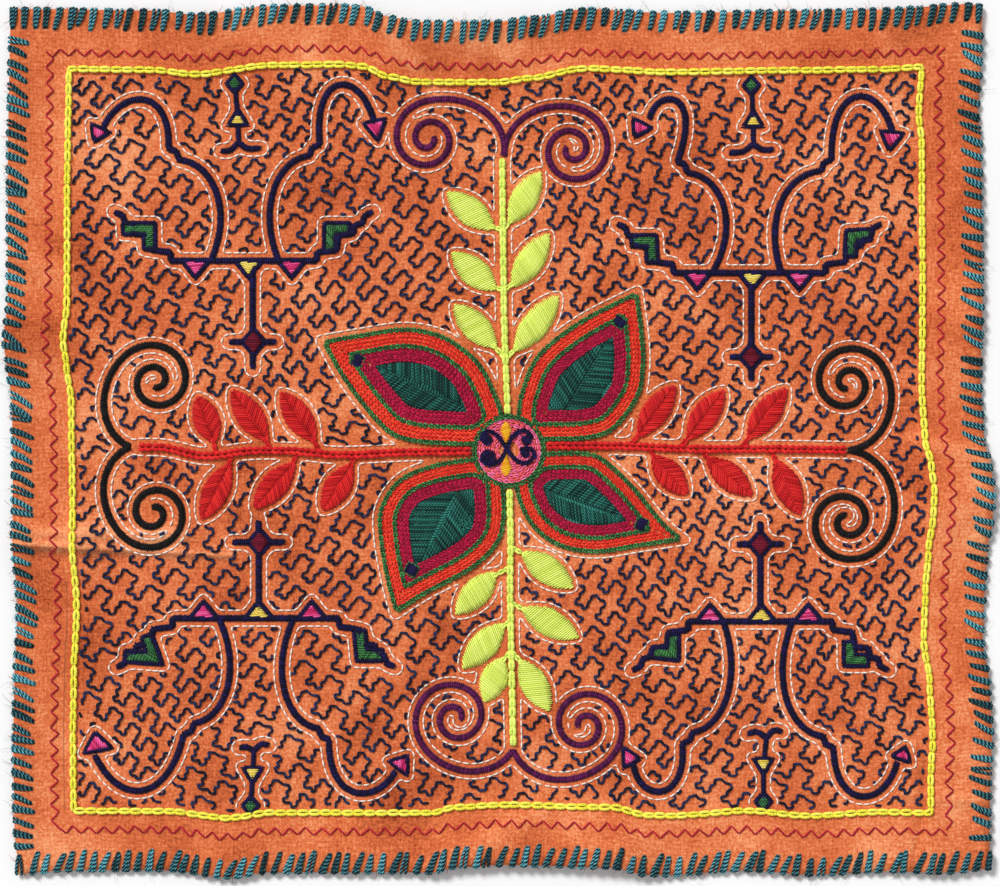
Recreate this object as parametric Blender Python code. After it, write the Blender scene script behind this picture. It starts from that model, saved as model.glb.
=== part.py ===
# Embroidered cloth, lying flat and face up.
# A cotton panel has its four cut edges overcast with thick yarn.
# Raised yarn work lies on its face: a frame line, a flower, leafy sprigs, scrolls and hooked figures.
# The origin is under the middle of the cloth, +X runs to the right, +Y to the top edge and +Z up.

import math

import bmesh
import bpy
from mathutils import Vector

for old_object in list(bpy.data.objects):
    bpy.data.objects.remove(old_object, do_unlink=True)

# Driving sizes in millimetres; finished points are turned into metres as each mesh is made.
MM = 0.001
CUT_WIDTH = 486.4
CUT_HEIGHT = 430.8
THICKNESS = 1.2
CLEARANCE = 0.4
HALF_WIDTH = CUT_WIDTH / 2
HALF_HEIGHT = CUT_HEIGHT / 2
STITCH_DEPTH = 10.0
FRAME_INSET = 29.5
ZIGZAG_INSET = 19.5
MESH_PITCH = 17.0
EDGE_REACH_FULL = 42.0
EDGE_REACH_END = 120.0
BORDER_LIFT_AT_EDGE = 1.6
BORDER_LIFT_AT_STITCH = 0.35
RELIEF = 1.2

# How far each edge wanders from the straight cut, in plan: (place along the edge, distance outwards).
TOP_WANDER = (
    (-244, 0.2), (-174, -0.6), (-152, -2.9), (-114, 1.6), (-80, 2.1), (-68, 1.0), (-55, -4.3), (-41, -6.8),
    (0, -6.8), (14, -4.9), (43, 0.1), (85, -1.9), (145, -0.9), (193, -0.4), (236, 2.4), (244, 1.6),
)
BOTTOM_WANDER = (
    (-244, 0.4), (-217, -1.4), (-168, -1.4), (-135, 2.1), (-114, -0.4), (-34, -0.4), (-22, -3.2), (2, -4.4),
    (56, -3.3), (74, 0.8), (85, 1.1), (124, -1.4), (156, 1.1), (189, -0.9), (221, -0.4), (244, -2.4),
)
LEFT_WANDER = (
    (-216, -3.4), (-190, -1.4), (-148, -0.9), (-121, -1.4), (-84, -2.9), (-49, -0.9), (-22, -0.8), (20, -0.3),
    (37, 1.9), (50, 3.5), (70, 1.9), (120, 1.9), (216, 0.6),
)
RIGHT_WANDER = (
    (-216, 1.2), (-170, 1.7), (-150, 2.7), (-121, 1.2), (-99, -1.8), (-74, -0.9), (-55, 0.5), (-38, 2.7),
    (-25, 3.2), (-11, 1.6), (0, -1.4), (32, -2.9), (70, -2.3), (150, -2.8), (161, -4.3), (188, -2.8),
    (216, -2.2),
)

# Soft folds that stand off the table: (from x, from y, to x, to y, half width, height).
FOLDS = (
    (-246, -52, -212, -53, 13, 3.2),
    (-60, 214, -44, 194, 13, 2.6),
    (-36, 214, 10, 214, 17, 3.6),
    (-26, -214, 62, -212, 19, 3.8),
    (36, -192, 56, -204, 13, 1.8),
    (216, -6, 246, -14, 13, 2.6),
    (216, -30, 246, -34, 13, 2.2),
    (214, -190, 218, -212, 14, 2.0),
    (184, 200, 196, 214, 15, 2.2),
    (-154, 214, -150, 196, 14, 1.8),
    (-246, 50, -226, 52, 16, 2.4),
    (-138, -216, -132, -200, 15, 2.0),
)


def smooth_lookup(table, place):
    """Reads a two-column table with an eased change from each row to the next."""
    if place <= table[0][0]:
        return table[0][1]
    for (low, low_value), (high, high_value) in zip(table, table[1:]):
        if place <= high:
            part = (place - low) / (high - low)
            eased = part * part * (3 - 2 * part)
            return low_value + (high_value - low_value) * eased
    return table[-1][1]


def edge_share(distance):
    """How much of an edge's wander is felt at this distance inside it."""
    part = (distance - EDGE_REACH_FULL) / (EDGE_REACH_END - EDGE_REACH_FULL)
    part = min(max(part, 0.0), 1.0)
    return 1 - part * part * (3 - 2 * part)


def fold_height(x, y):
    """Height of the cloth's underside above the table from its folds."""
    height = 0.0
    for from_x, from_y, to_x, to_y, half_width, rise in FOLDS:
        run_x = to_x - from_x
        run_y = to_y - from_y
        length_squared = run_x * run_x + run_y * run_y
        along = ((x - from_x) * run_x + (y - from_y) * run_y) / length_squared
        along = min(max(along, 0.0), 1.0)
        away = math.hypot(x - from_x - along * run_x, y - from_y - along * run_y)
        height += rise * math.exp(-(away / half_width) ** 2)
    return height if height > 0.05 else 0.0


def border_lift(inset):
    """The yarn under the border lifts it off the table, most at the cut edge."""
    if inset >= ZIGZAG_INSET:
        return 0.0
    if inset >= STITCH_DEPTH:
        part = (ZIGZAG_INSET - inset) / (ZIGZAG_INSET - STITCH_DEPTH)
        return BORDER_LIFT_AT_STITCH * part
    part = (STITCH_DEPTH - inset) / STITCH_DEPTH
    return BORDER_LIFT_AT_STITCH + (BORDER_LIFT_AT_EDGE - BORDER_LIFT_AT_STITCH) * part


def lying_point(s, t):
    """Where the point (s, t) of the straight cut lies, and the height of the underside there."""
    x = s + smooth_lookup(RIGHT_WANDER, t) * edge_share(HALF_WIDTH - s)
    x -= smooth_lookup(LEFT_WANDER, t) * edge_share(HALF_WIDTH + s)
    y = t + smooth_lookup(TOP_WANDER, s) * edge_share(HALF_HEIGHT - t)
    y -= smooth_lookup(BOTTOM_WANDER, s) * edge_share(HALF_HEIGHT + t)
    inset = min(HALF_WIDTH - abs(s), HALF_HEIGHT - abs(t))
    return Vector((x, y, fold_height(x, y) + border_lift(inset)))


def mesh_lines(half_size):
    """Places of the mesh lines over one width: close at the border, even between."""
    border = (0.0, STITCH_DEPTH, ZIGZAG_INSET, FRAME_INSET)
    inner_half = half_size - FRAME_INSET
    steps = round(2 * inner_half / MESH_PITCH)
    middle = [-inner_half + 2 * inner_half * step / steps for step in range(1, steps)]
    low = [-half_size + inset for inset in border]
    high = [half_size - inset for inset in reversed(border)]
    return low + middle + high


S_LINES = mesh_lines(HALF_WIDTH)
T_LINES = mesh_lines(HALF_HEIGHT)
GRID = [[lying_point(s, t) for t in T_LINES] for s in S_LINES]


def find_cell(lines, value):
    """The mesh cell that holds a value, and the value's share of the way across it."""
    cell = 0
    while cell < len(lines) - 2 and value > lines[cell + 1]:
        cell += 1
    return cell, (value - lines[cell]) / (lines[cell + 1] - lines[cell])


def underside(s, t):
    """The point of the faceted underside at (s, t); past the cut edge it runs on flat."""
    inside_s = min(max(s, -HALF_WIDTH), HALF_WIDTH)
    inside_t = min(max(t, -HALF_HEIGHT), HALF_HEIGHT)
    column, across = find_cell(S_LINES, inside_s)
    row, up = find_cell(T_LINES, inside_t)
    near = GRID[column][row]
    far = GRID[column + 1][row + 1]
    if across >= up:
        corner = GRID[column + 1][row]
        point = near + (corner - near) * across + (far - corner) * up
    else:
        corner = GRID[column][row + 1]
        point = near + (corner - near) * up + (far - corner) * across
    return point + Vector((s - inside_s, t - inside_t, 0))


def face_height(x, y):
    """Height of the cloth's face at a place in plan."""
    s, t = x, y
    for _ in range(8):
        point = underside(s, t)
        s += x - point.x
        t += y - point.y
    return underside(s, t).z + THICKNESS


def plain_material(name, colour, roughness):
    material = bpy.data.materials.new(name)
    material.use_nodes = True
    shader = material.node_tree.nodes["Principled BSDF"]
    shader.inputs["Base Color"].default_value = (*colour, 1.0)
    shader.inputs["Roughness"].default_value = roughness
    shader.inputs["Metallic"].default_value = 0.0
    return material


def make_object(name, points, faces, material):
    """A closed mesh object from points in millimetres."""
    mesh = bpy.data.meshes.new(name)
    mesh.from_pydata([point * MM for point in points], [], faces)
    body = bmesh.new()
    body.from_mesh(mesh)
    bmesh.ops.recalc_face_normals(body, faces=body.faces)
    if body.calc_volume(signed=True) < 0:
        bmesh.ops.reverse_faces(body, faces=body.faces)
    body.to_mesh(mesh)
    body.free()
    mesh.materials.append(material)
    made = bpy.data.objects.new(name, mesh)
    bpy.context.scene.collection.objects.link(made)
    return made


COTTON = plain_material("orange cotton", (0.75, 0.19, 0.06), 0.9)
TEAL = plain_material("teal yarn", (0.01, 0.09, 0.12), 0.85)
YELLOW = plain_material("yellow yarn", (0.82, 0.72, 0.05), 0.8)
LIME = plain_material("lime yarn", (0.55, 0.95, 0.1), 0.8)
RED = plain_material("red yarn", (0.54, 0.01, 0.02), 0.8)
SCARLET = plain_material("scarlet yarn", (0.9, 0.06, 0.02), 0.8)
PINK = plain_material("pink yarn", (0.85, 0.08, 0.2), 0.8)
PURPLE = plain_material("purple yarn", (0.07, 0.0, 0.06), 0.8)
BLACK = plain_material("black yarn", (0.005, 0.004, 0.005), 0.85)
NAVY = plain_material("navy yarn", (0.006, 0.003, 0.045), 0.85)


def make_cloth():
    """The panel: one sheet of even thickness that follows its folds and its uneven outline."""
    columns = len(S_LINES)
    rows = len(T_LINES)
    under = [GRID[column][row] for column in range(columns) for row in range(rows)]
    points = under + [point + Vector((0, 0, THICKNESS)) for point in under]
    top = columns * rows

    def index(column, row):
        return column * rows + row

    faces = []
    for column in range(columns - 1):
        for row in range(rows - 1):
            near = index(column, row)
            side = index(column + 1, row)
            far = index(column + 1, row + 1)
            above = index(column, row + 1)
            faces.append((top + near, top + side, top + far))
            faces.append((top + near, top + far, top + above))
            faces.append((near, far, side))
            faces.append((near, above, far))
    rim = [index(column, 0) for column in range(columns)]
    rim += [index(columns - 1, row) for row in range(1, rows)]
    rim += [index(column, rows - 1) for column in range(columns - 2, -1, -1)]
    rim += [index(0, row) for row in range(rows - 2, 0, -1)]
    for here, after in zip(rim, rim[1:] + rim[:1]):
        faces.append((here, after, top + after, top + here))
    make_object("cloth", points, faces, COTTON)


# Overcast edging: one crest for each stitch of doubled yarn, from its hole in the cloth round the cut edge.
# Columns: name, runs along x, side of the cloth, stitch spacing, slant at the inner end, margin at the ends.
EDGINGS = (
    ("edging_top", True, 1, 5.9, -2.0, -1.8),
    ("edging_bottom", True, -1, 5.9, 2.8, -1.8),
    ("edging_left", False, -1, 5.9, -4.0, 11.6),
    ("edging_right", False, 1, 6.7, 3.2, 11.6),
)
CREST_HEIGHT = 2.1
VALLEY_HEIGHT = 1.1
CREST_OUT = 1.9
VALLEY_OUT = 1.2
TIP_CREST = 10.0
TIP_VALLEY = 7.6
TIP_UNDER = 7.5
NOTCH_OUT = 0.4
CROWN_SHARE = 0.4
STITCH_CORNERS = 6
CORNER_ROOM = 12.0


def edging_section(runs_along_x, side, place, slant, crest):
    """Six corners of the yarn's section at one place: a clip round the cut edge that tapers to its tips."""
    half = HALF_HEIGHT if runs_along_x else HALF_WIDTH
    outwards = Vector((0, side, 0)) if runs_along_x else Vector((side, 0, 0))

    def at(inset, shift):
        across = side * (half - inset)
        if runs_along_x:
            return underside(place + shift, across)
        return underside(across, place + shift)

    edge = at(0.0, 0.0)
    lift = BORDER_LIFT_AT_EDGE
    tip_above = at(TIP_CREST if crest else TIP_VALLEY, slant)
    tip_below = at(TIP_UNDER, slant)
    tip_above.z += THICKNESS + CLEARANCE
    tip_below.z -= border_lift(TIP_UNDER)
    rise = CREST_HEIGHT if crest else VALLEY_HEIGHT
    out = CREST_OUT if crest else VALLEY_OUT
    crown = edge + outwards * (CROWN_SHARE * out) + Vector((0, 0, THICKNESS + rise))
    nose = edge + outwards * out + Vector((0, 0, -lift))
    notch_low = edge + outwards * NOTCH_OUT + Vector((0, 0, -CLEARANCE))
    notch_high = edge + outwards * NOTCH_OUT + Vector((0, 0, THICKNESS + CLEARANCE))
    return [tip_above, crown, nose, tip_below, notch_low, notch_high]


def make_edging(name, runs_along_x, side, spacing, slant, end_margin):
    half_run = (HALF_WIDTH if runs_along_x else HALF_HEIGHT) - end_margin
    stitches = round(2 * half_run / spacing)
    stations = 2 * stitches + 1
    points = []
    for station in range(stations):
        place = -half_run + 2 * half_run * station / (stations - 1)
        room = half_run - abs(place)
        lean = slant * min(room / CORNER_ROOM, 1.0)
        points += edging_section(runs_along_x, side, place, lean, station % 2 == 1)
    corners = STITCH_CORNERS
    faces = [tuple(range(corners)), tuple(range(corners * (stations - 1), corners * stations))]
    for station in range(stations - 1):
        for corner in range(corners):
            after = (corner + 1) % corners
            here = station * corners
            there = here + corners
            faces.append((here + corner, here + after, there + after, there + corner))
    make_object(name, points, faces, TEAL)


def offsets_along(path, closed):
    """A sideways unit step at each point of a path, lengthened at its bends so that a strip keeps its width."""
    count = len(path)
    steps = []
    for place in range(count):
        before = path[place - 1] if closed or place > 0 else None
        after = path[(place + 1) % count] if closed or place < count - 1 else None
        into = (path[place] - before).normalized() if before is not None else None
        away = (after - path[place]).normalized() if after is not None else None
        into = away if into is None else into
        away = into if away is None else away
        middle = (into + away).normalized()
        stretch = min(1.0 / max(middle.dot(into), 0.1), 1.5)
        steps.append(Vector((-middle.y, middle.x)) * stretch)
    return steps


def ridge(name, path, width, height, material, closed=False, base=0.0):
    """A raised line of stitching: a strip with a crest along its middle, a little clear of the cloth's face."""
    steps = offsets_along(path, closed)
    points = []
    for place, step in zip(path, steps):
        left = place + step * (width / 2)
        right = place - step * (width / 2)
        floor = CLEARANCE + base
        points.append(Vector((left.x, left.y, face_height(left.x, left.y) + floor)))
        points.append(Vector((place.x, place.y, face_height(place.x, place.y) + floor + height)))
        points.append(Vector((right.x, right.y, face_height(right.x, right.y) + floor)))
    count = len(path)
    faces = []
    for station in range(count if closed else count - 1):
        here = station * 3
        there = ((station + 1) % count) * 3
        for corner in range(3):
            after = (corner + 1) % 3
            faces.append((here + corner, here + after, there + after, there + corner))
    if not closed:
        faces.append((0, 1, 2))
        faces.append((3 * count - 3, 3 * count - 2, 3 * count - 1))
    return make_object(name, points, faces, material)


def pad(name, outline, top_outline, height, material):
    """A filled shape of satin stitches: a flat base with sides that slope up to a smaller top."""
    base = [Vector((p.x, p.y, face_height(p.x, p.y) + CLEARANCE)) for p in outline]
    top = [Vector((p.x, p.y, face_height(p.x, p.y) + CLEARANCE + height)) for p in top_outline]
    count = len(outline)
    faces = [tuple(range(count)), tuple(range(count, 2 * count))]
    for here in range(count):
        after = (here + 1) % count
        faces.append((here, after, count + after, count + here))
    return make_object(name, base + top, faces, material)


def bezier(start, start_handle, end_handle, end, pieces):
    """Points along a cubic curve, without its first point."""
    line = []
    for piece in range(1, pieces + 1):
        t = piece / pieces
        back = 1 - t
        point = start * back ** 3 + start_handle * (3 * back * back * t)
        point = point + end_handle * (3 * back * t * t) + end * t ** 3
        line.append(point)
    return line


def smooth_loop(knots, pieces):
    """A closed smooth curve through a few points."""
    count = len(knots)
    line = []
    for here in range(count):
        before, start, end, after = (Vector(knots[(here + step) % count]) for step in (-1, 0, 1, 2))
        handle = start + (end - before) / 6
        back_handle = end - (after - start) / 6
        line += bezier(start, handle, back_handle, end, pieces)
    return line


# The frame line is chain stitch in yellow yarn, at one distance inside the edge all the way round.
# It lies on the fourth mesh line from each edge, so that it bends where the cloth's faces do.
FRAME_WIDTH = 2.6
FRAME_LINE = 3


def make_frame_line():
    first = FRAME_LINE
    last = -1 - FRAME_LINE
    rows = range(FRAME_LINE, len(T_LINES) - FRAME_LINE)
    columns = range(FRAME_LINE, len(S_LINES) - FRAME_LINE)
    path = [GRID[column][first] for column in columns]
    path += [GRID[last][row] for row in rows][1:]
    path += [GRID[column][last] for column in reversed(columns)][1:]
    path += [GRID[first][row] for row in reversed(rows)][1:-1]
    flat = [Vector((point.x, point.y)) for point in path]
    ridge("frame_line", flat, FRAME_WIDTH, RELIEF, YELLOW, closed=True)


# Flower: a round eye and four petals. Each petal's knots run from its root round its point and back.
EYE_CENTRE = (5.0, -5.0)
EYE_RADIUS = 18.2
PETALS = (
    ((2.0, 15.5), (-2.0, 26.0), (-7.0, 36.0), (-14.5, 44.5), (-28.5, 53.5), (-47.0, 57.0), (-69.0, 54.0),
     (-89.5, 50.5), (-77.5, 29.5), (-58.5, 6.0), (-44.5, -0.8), (-24.0, -2.2), (-14.2, -1.0), (-9.5, 9.0)),
    ((8.8, 15.5), (10.8, 25.5), (18.7, 43.0), (39.5, 60.0), (69.5, 75.5), (72.5, 52.5), (73.0, 36.5),
     (70.0, 21.5), (57.2, 5.0), (43.0, 0.8), (25.0, 0.9), (19.5, 9.5)),
    ((-14.9, -8.6), (-35.5, -12.0), (-51.0, -19.5), (-60.0, -34.0), (-60.0, -50.0), (-56.5, -70.0),
     (-52.0, -87.0), (-36.5, -77.0), (-13.0, -64.3), (0.0, -51.5), (3.5, -38.5), (1.7, -24.8), (-8.7, -19.8)),
    ((25.2, -6.2), (44.0, -5.6), (53.0, -9.0), (67.4, -22.3), (82.0, -40.0), (93.5, -49.5), (70.5, -53.0),
     (48.5, -56.2), (29.5, -52.8), (15.5, -42.0), (8.8, -25.6), (19.0, -20.4)),
)
PETAL_SLOPE = 3.0
EYE_SIDES = 24
EYE_TOP_SHARE = 0.85


def make_flower():
    for number, knots in enumerate(PETALS, start=1):
        outline = smooth_loop(knots, 2)
        centre = sum(outline, Vector((0, 0))) / len(outline)
        top = [point + (centre - point).normalized() * PETAL_SLOPE for point in outline]
        pad(f"petal_{number}", outline, top, RELIEF, SCARLET)
    eye = Vector(EYE_CENTRE)
    turns = [2 * math.pi * side / EYE_SIDES for side in range(EYE_SIDES)]
    ring = [eye + Vector((math.cos(turn), math.sin(turn))) * EYE_RADIUS for turn in turns]
    inner = [eye + (point - eye) * EYE_TOP_SHARE for point in ring]
    pad("eye", ring, inner, RELIEF, PINK)


# Sprigs: a stem as (x, y) points and its leaves as (base x, base y, tip x, tip y).
SPRIGS = {
    "top": (LIME, 2.2, ((1.5, 137.0), (2.0, 100.0), (2.6, 60.0), (3.6, 16.0)), (
        (0.0, 103.5, -26.0, 124.0), (1.0, 73.0, -23.5, 94.0), (1.0, 44.0, -22.5, 68.0),
        (3.5, 105.5, 20.5, 134.5), (4.5, 74.0, 25.0, 103.5), (5.5, 42.0, 29.5, 72.5))),
    "bottom": (LIME, 2.2, ((5.3, -26.0), (5.5, -72.5), (6.2, -110.0), (7.0, -149.0)), (
        (1.0, -63.0, -21.5, -86.5), (5.0, -88.5, -18.0, -113.5), (3.4, -104.5, -6.9, -130.3),
        (8.5, -53.5, 37.0, -73.0), (8.5, -82.0, 39.5, -98.0), (9.0, -106.0, 25.0, -134.5))),
    "left": (RED, 2.8, ((-179.5, -3.0), (-166.0, -3.5), (-146.5, -7.5), (-125.0, -5.0), (-103.0, -5.0),
                        (-79.5, -7.0), (-18.0, -5.0)), (
        (-140.5, -4.5, -150.5, 22.5), (-113.5, -3.0, -133.5, 25.5), (-89.5, -3.5, -109.0, 24.5),
        (-132.5, -8.0, -148.5, -39.5), (-99.5, -8.0, -122.5, -34.0), (-71.5, -8.5, -88.0, -35.0))),
    "right": (RED, 2.8, ((27.0, -2.2), (60.0, -2.5), (100.0, -4.0), (140.0, -4.0), (170.0, -4.5)), (
        (67.0, -1.0, 88.0, 28.0), (92.0, -2.0, 112.5, 25.5), (122.0, -2.0, 143.5, 26.5),
        (74.0, -4.5, 94.0, -27.0), (101.0, -6.0, 126.5, -27.5), (136.5, -6.0, 150.5, -37.0))),
}
LEAF_WIDTH = 13.0
LEAF_STANDOFF = 3.2
LEAF_PROFILE = ((0.0, 0.25), (0.25, 0.8), (0.5, 1.0), (0.75, 0.78), (1.0, 0.12))


def make_leaf(name, base, tip, material):
    """A satin-stitched leaf, which starts a little off its stem."""
    along = (tip - base).normalized()
    across = Vector((-along.y, along.x))
    start = base + along * LEAF_STANDOFF
    run = tip - start
    left = [start + run * part + across * (LEAF_WIDTH / 2 * share) for part, share in LEAF_PROFILE]
    right = [start + run * part - across * (LEAF_WIDTH / 2 * share) for part, share in reversed(LEAF_PROFILE)]
    outline = left + right
    centre = (start + tip) / 2
    top = []
    for point in outline:
        offset = point - centre
        top.append(centre + along * (offset.dot(along) * 0.86) + across * (offset.dot(across) * 0.5))
    pad(name, outline, top, RELIEF, material)


def make_sprigs():
    for side, (material, width, stem, leaves) in SPRIGS.items():
        ridge(f"stem_{side}", [Vector(point) for point in stem], width, RELIEF, material)
        for number, (base_x, base_y, tip_x, tip_y) in enumerate(leaves, start=1):
            make_leaf(f"leaf_{side}_{number}", Vector((base_x, base_y)), Vector((tip_x, tip_y)), material)


# Scroll pairs: two spirals that start from one joint.
# A spiral is (centre x, centre y, turning way, radius after the first quarter, turns).
SCROLLS = {
    "top": (PURPLE, 3.0, (2.5, 142.5), ((-35.5, 151.0, 1, 21.5, 2.1), (36.5, 145.5, -1, 24.0, 2.1))),
    "bottom": (PURPLE, 3.0, (7.0, -154.5), ((-22.0, -138.0, -1, 25.5, 2.0), (42.5, -142.0, 1, 25.0, 2.0))),
    "left": (BLACK, 3.3, (-184.5, -3.0), ((-171.5, 30.0, -1, 23.5, 2.0), (-172.5, -36.0, 1, 22.5, 2.0))),
    "right": (BLACK, 3.3, (174.5, -4.5), ((174.0, 29.0, 1, 23.5, 2.0), (173.5, -40.0, -1, 26.0, 2.0))),
}
SCROLL_EYE = 3.0
STEPS_IN_A_TURN = 15
SCROLL_TIGHTENING = 1.3
SWEEP_IN = 1.0


def spiral(joint, centre, way, radius, turns):
    """Points from the joint over the outside of a scroll and inwards to its eye."""
    start = joint - centre
    start_angle = math.atan2(start.y, start.x)
    whole = 2 * math.pi * turns
    pieces = round(STEPS_IN_A_TURN * turns)
    line = []
    for piece in range(pieces + 1):
        part = piece / pieces
        turned = whole * part
        reach = SCROLL_EYE + (radius - SCROLL_EYE) * (1 - part) ** SCROLL_TIGHTENING
        reach += (start.length - radius) * math.exp(-(turned / SWEEP_IN) ** 2)
        angle = start_angle + way * turned
        line.append(centre + Vector((math.cos(angle), math.sin(angle))) * reach)
    return line


def make_scrolls():
    for side, (material, width, joint, spirals) in SCROLLS.items():
        meet = Vector(joint)
        halves = []
        for centre_x, centre_y, way, radius, turns in spirals:
            halves.append(spiral(meet, Vector((centre_x, centre_y)), way, radius, turns))
        path = list(reversed(halves[0])) + halves[1][1:]
        ridge(f"scroll_{side}", path, width, RELIEF, material)


# Hooked figures: a bar with a stepped hook at each end, two bowed arms and a crossed stem on the other side.
# Columns: bar middle x, bar y, half bar, which way the arms point (1 up, -1 down), stem x off the bar's middle,
# stem length, distance of its cross from the bar, half cross.
FIGURES = (
    (-127.5, 90.0, 36.5, 1, 4.5, 54.0, 40.5, 11.8),
    (125.0, 84.0, 38.0, 1, 1.0, 54.0, 42.0, 10.8),
    (-121.5, -88.5, 41.5, -1, 1.5, 49.0, 38.0, 13.2),
    (130.5, -90.0, 36.0, -1, 0.0, 50.0, 38.5, 11.8),
)
# Arms, two for each figure: (side, start, waist, step x, step y, bow top x, bow top y, end x, end y).
ARMS = (
    ((-1, 16.5, 12.0, 32.5, 50.5, 52.0, 80.5, 70.5, 66.0), (1, 17.5, 13.5, 33.0, 52.5, 50.0, 88.0, 65.5, 68.0)),
    ((-1, 18.5, 11.0, 31.0, 50.0, 38.0, 86.0, 50.0, 76.5), (1, 16.0, 14.0, 36.0, 51.0, 56.0, 88.0, 71.5, 70.0)),
    ((-1, 18.5, 13.0, 31.0, 52.5, 60.0, 86.0, 80.5, 68.0), (1, 19.0, 13.0, 31.5, 55.0, 52.0, 87.0, 70.0, 76.0)),
    ((-1, 18.5, 15.5, 34.0, 55.5, 52.0, 85.0, 63.5, 71.0), (1, 16.0, 11.5, 31.5, 57.5, 53.0, 87.5, 68.5, 70.0)),
)
HOOK_STEPS = ((0.0, 0.18), (0.38, 0.2), (0.41, 0.52), (0.68, 0.56), (0.74, 0.86), (0.98, 0.9), (1.05, 1.05))
HOOK_REACH = 27.0
HOOK_RISE = 25.0
FIGURE_WIDTH = 3.2
ARM_STEP_OUT = 5.0
ARM_STEP_UP = 4.0


def arm_path(start, waist, step_x, step_y, top_x, top_y, end_x, end_y):
    """A bowed arm: out of the bar, in at the waist, out to a small step, then over and down."""
    foot = Vector((start, 0.0))
    step = Vector((step_x, step_y))
    line = [foot]
    line += bezier(foot, Vector((waist - 7, 0.5 * step_y)), Vector((waist + 3, 0.97 * step_y)), step, 7)
    corner = Vector((step_x + 1.0, step_y + ARM_STEP_UP))
    rise = Vector((step_x + ARM_STEP_OUT, step_y + ARM_STEP_UP + 1.5))
    end = Vector((end_x, end_y))
    line += [corner, rise]
    over = top_y + (top_y - (rise.y + end_y) / 2) / 3
    line += bezier(rise, Vector((top_x - 16, over)), Vector((top_x + 9, over)), end, 8)
    return line


def join_as_one(body, others):
    """Unites overlapping strips with the first one; the others stay as guides."""
    for other in others:
        union = body.modifiers.new(other.name, "BOOLEAN")
        union.operation = "UNION"
        union.solver = "EXACT"
        union.object = other
        other.hide_render = True
        other.display_type = "WIRE"


def make_figures():
    rows = zip(FIGURES, ARMS)
    for number, (figure, arms) in enumerate(rows, start=1):
        middle_x, bar_y, half_bar, up, stem_x, stem_end, cross_y, cross = figure

        def placed(point, side=1):
            return Vector((middle_x + side * point.x, bar_y + up * point.y))

        def hook(side):
            return [placed(Vector((half_bar + x * HOOK_REACH, y * HOOK_RISE)), side) for x, y in HOOK_STEPS]

        name = f"figure_{number}"
        bar = [placed(Vector((half_bar, 0)), -1), placed(Vector((half_bar, 0)), 1)]
        path = list(reversed(hook(-1))) + bar + hook(1)
        body = ridge(name, path, FIGURE_WIDTH, RELIEF + 0.3, NAVY)
        strips = []
        for side, *shape in arms:
            line = [placed(point, side) for point in arm_path(*shape)]
            strips.append(ridge(f"{name}_arm_{side}", line, FIGURE_WIDTH, RELIEF, NAVY, base=0.05))
        stem = [placed(Vector((stem_x, 0.0))), placed(Vector((stem_x, -stem_end)))]
        strips.append(ridge(f"{name}_stem", stem, FIGURE_WIDTH, RELIEF + 0.1, NAVY, base=0.1))
        cross_line = [placed(Vector((stem_x - cross, -cross_y))), placed(Vector((stem_x + cross, -cross_y)))]
        strips.append(ridge(f"{name}_cross", cross_line, FIGURE_WIDTH, RELIEF, NAVY, base=0.05))
        join_as_one(body, strips)


make_cloth()
for row in EDGINGS:
    make_edging(*row)
make_frame_line()
make_flower()
make_sprigs()
make_scrolls()
make_figures()
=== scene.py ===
# Embroidered cloth, lying flat and face up on a pale floor, seen from straight above.
# Places on the cloth are in millimetres: x to the right, y to the top edge, from under its middle.
# Each yarn stitch is a strand of its own, laid on the cloth's face as the needle would leave it.

import math

import bpy
import numpy as np
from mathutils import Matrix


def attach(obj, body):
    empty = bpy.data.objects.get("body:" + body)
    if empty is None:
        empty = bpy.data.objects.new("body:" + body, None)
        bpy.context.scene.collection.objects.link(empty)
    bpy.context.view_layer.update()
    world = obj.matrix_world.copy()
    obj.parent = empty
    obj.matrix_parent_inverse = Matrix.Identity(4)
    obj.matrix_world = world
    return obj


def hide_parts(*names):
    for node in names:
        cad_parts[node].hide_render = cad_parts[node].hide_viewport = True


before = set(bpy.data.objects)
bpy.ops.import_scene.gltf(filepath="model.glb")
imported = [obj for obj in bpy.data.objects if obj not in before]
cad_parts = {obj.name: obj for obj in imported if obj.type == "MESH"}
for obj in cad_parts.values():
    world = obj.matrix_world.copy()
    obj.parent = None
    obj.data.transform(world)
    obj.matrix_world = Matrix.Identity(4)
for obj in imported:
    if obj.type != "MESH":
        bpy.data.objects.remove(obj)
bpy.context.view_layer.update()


# Cloth: one panel of plain-woven cotton, dyed orange and cut straight at 486.4 by 430.8 mm.
# It lies loose, so its edges wander, soft folds stand up at its border, and the sewing puckers it.
MM = 0.001
TINY = 1e-9
CUT_WIDTH = 486.4
CUT_HEIGHT = 430.8
HALF_WIDTH = CUT_WIDTH / 2
HALF_HEIGHT = CUT_HEIGHT / 2
THICKNESS = 1.2
FRAME_INSET = 29.5
EDGE_REACH_FULL = 42.0
EDGE_REACH_END = 120.0
# How the border rises towards its edge: (distance inside the edge, height).
BORDER_LIFT = ((0, 1.6), (10.0, 0.35), (19.5, 0))
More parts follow.
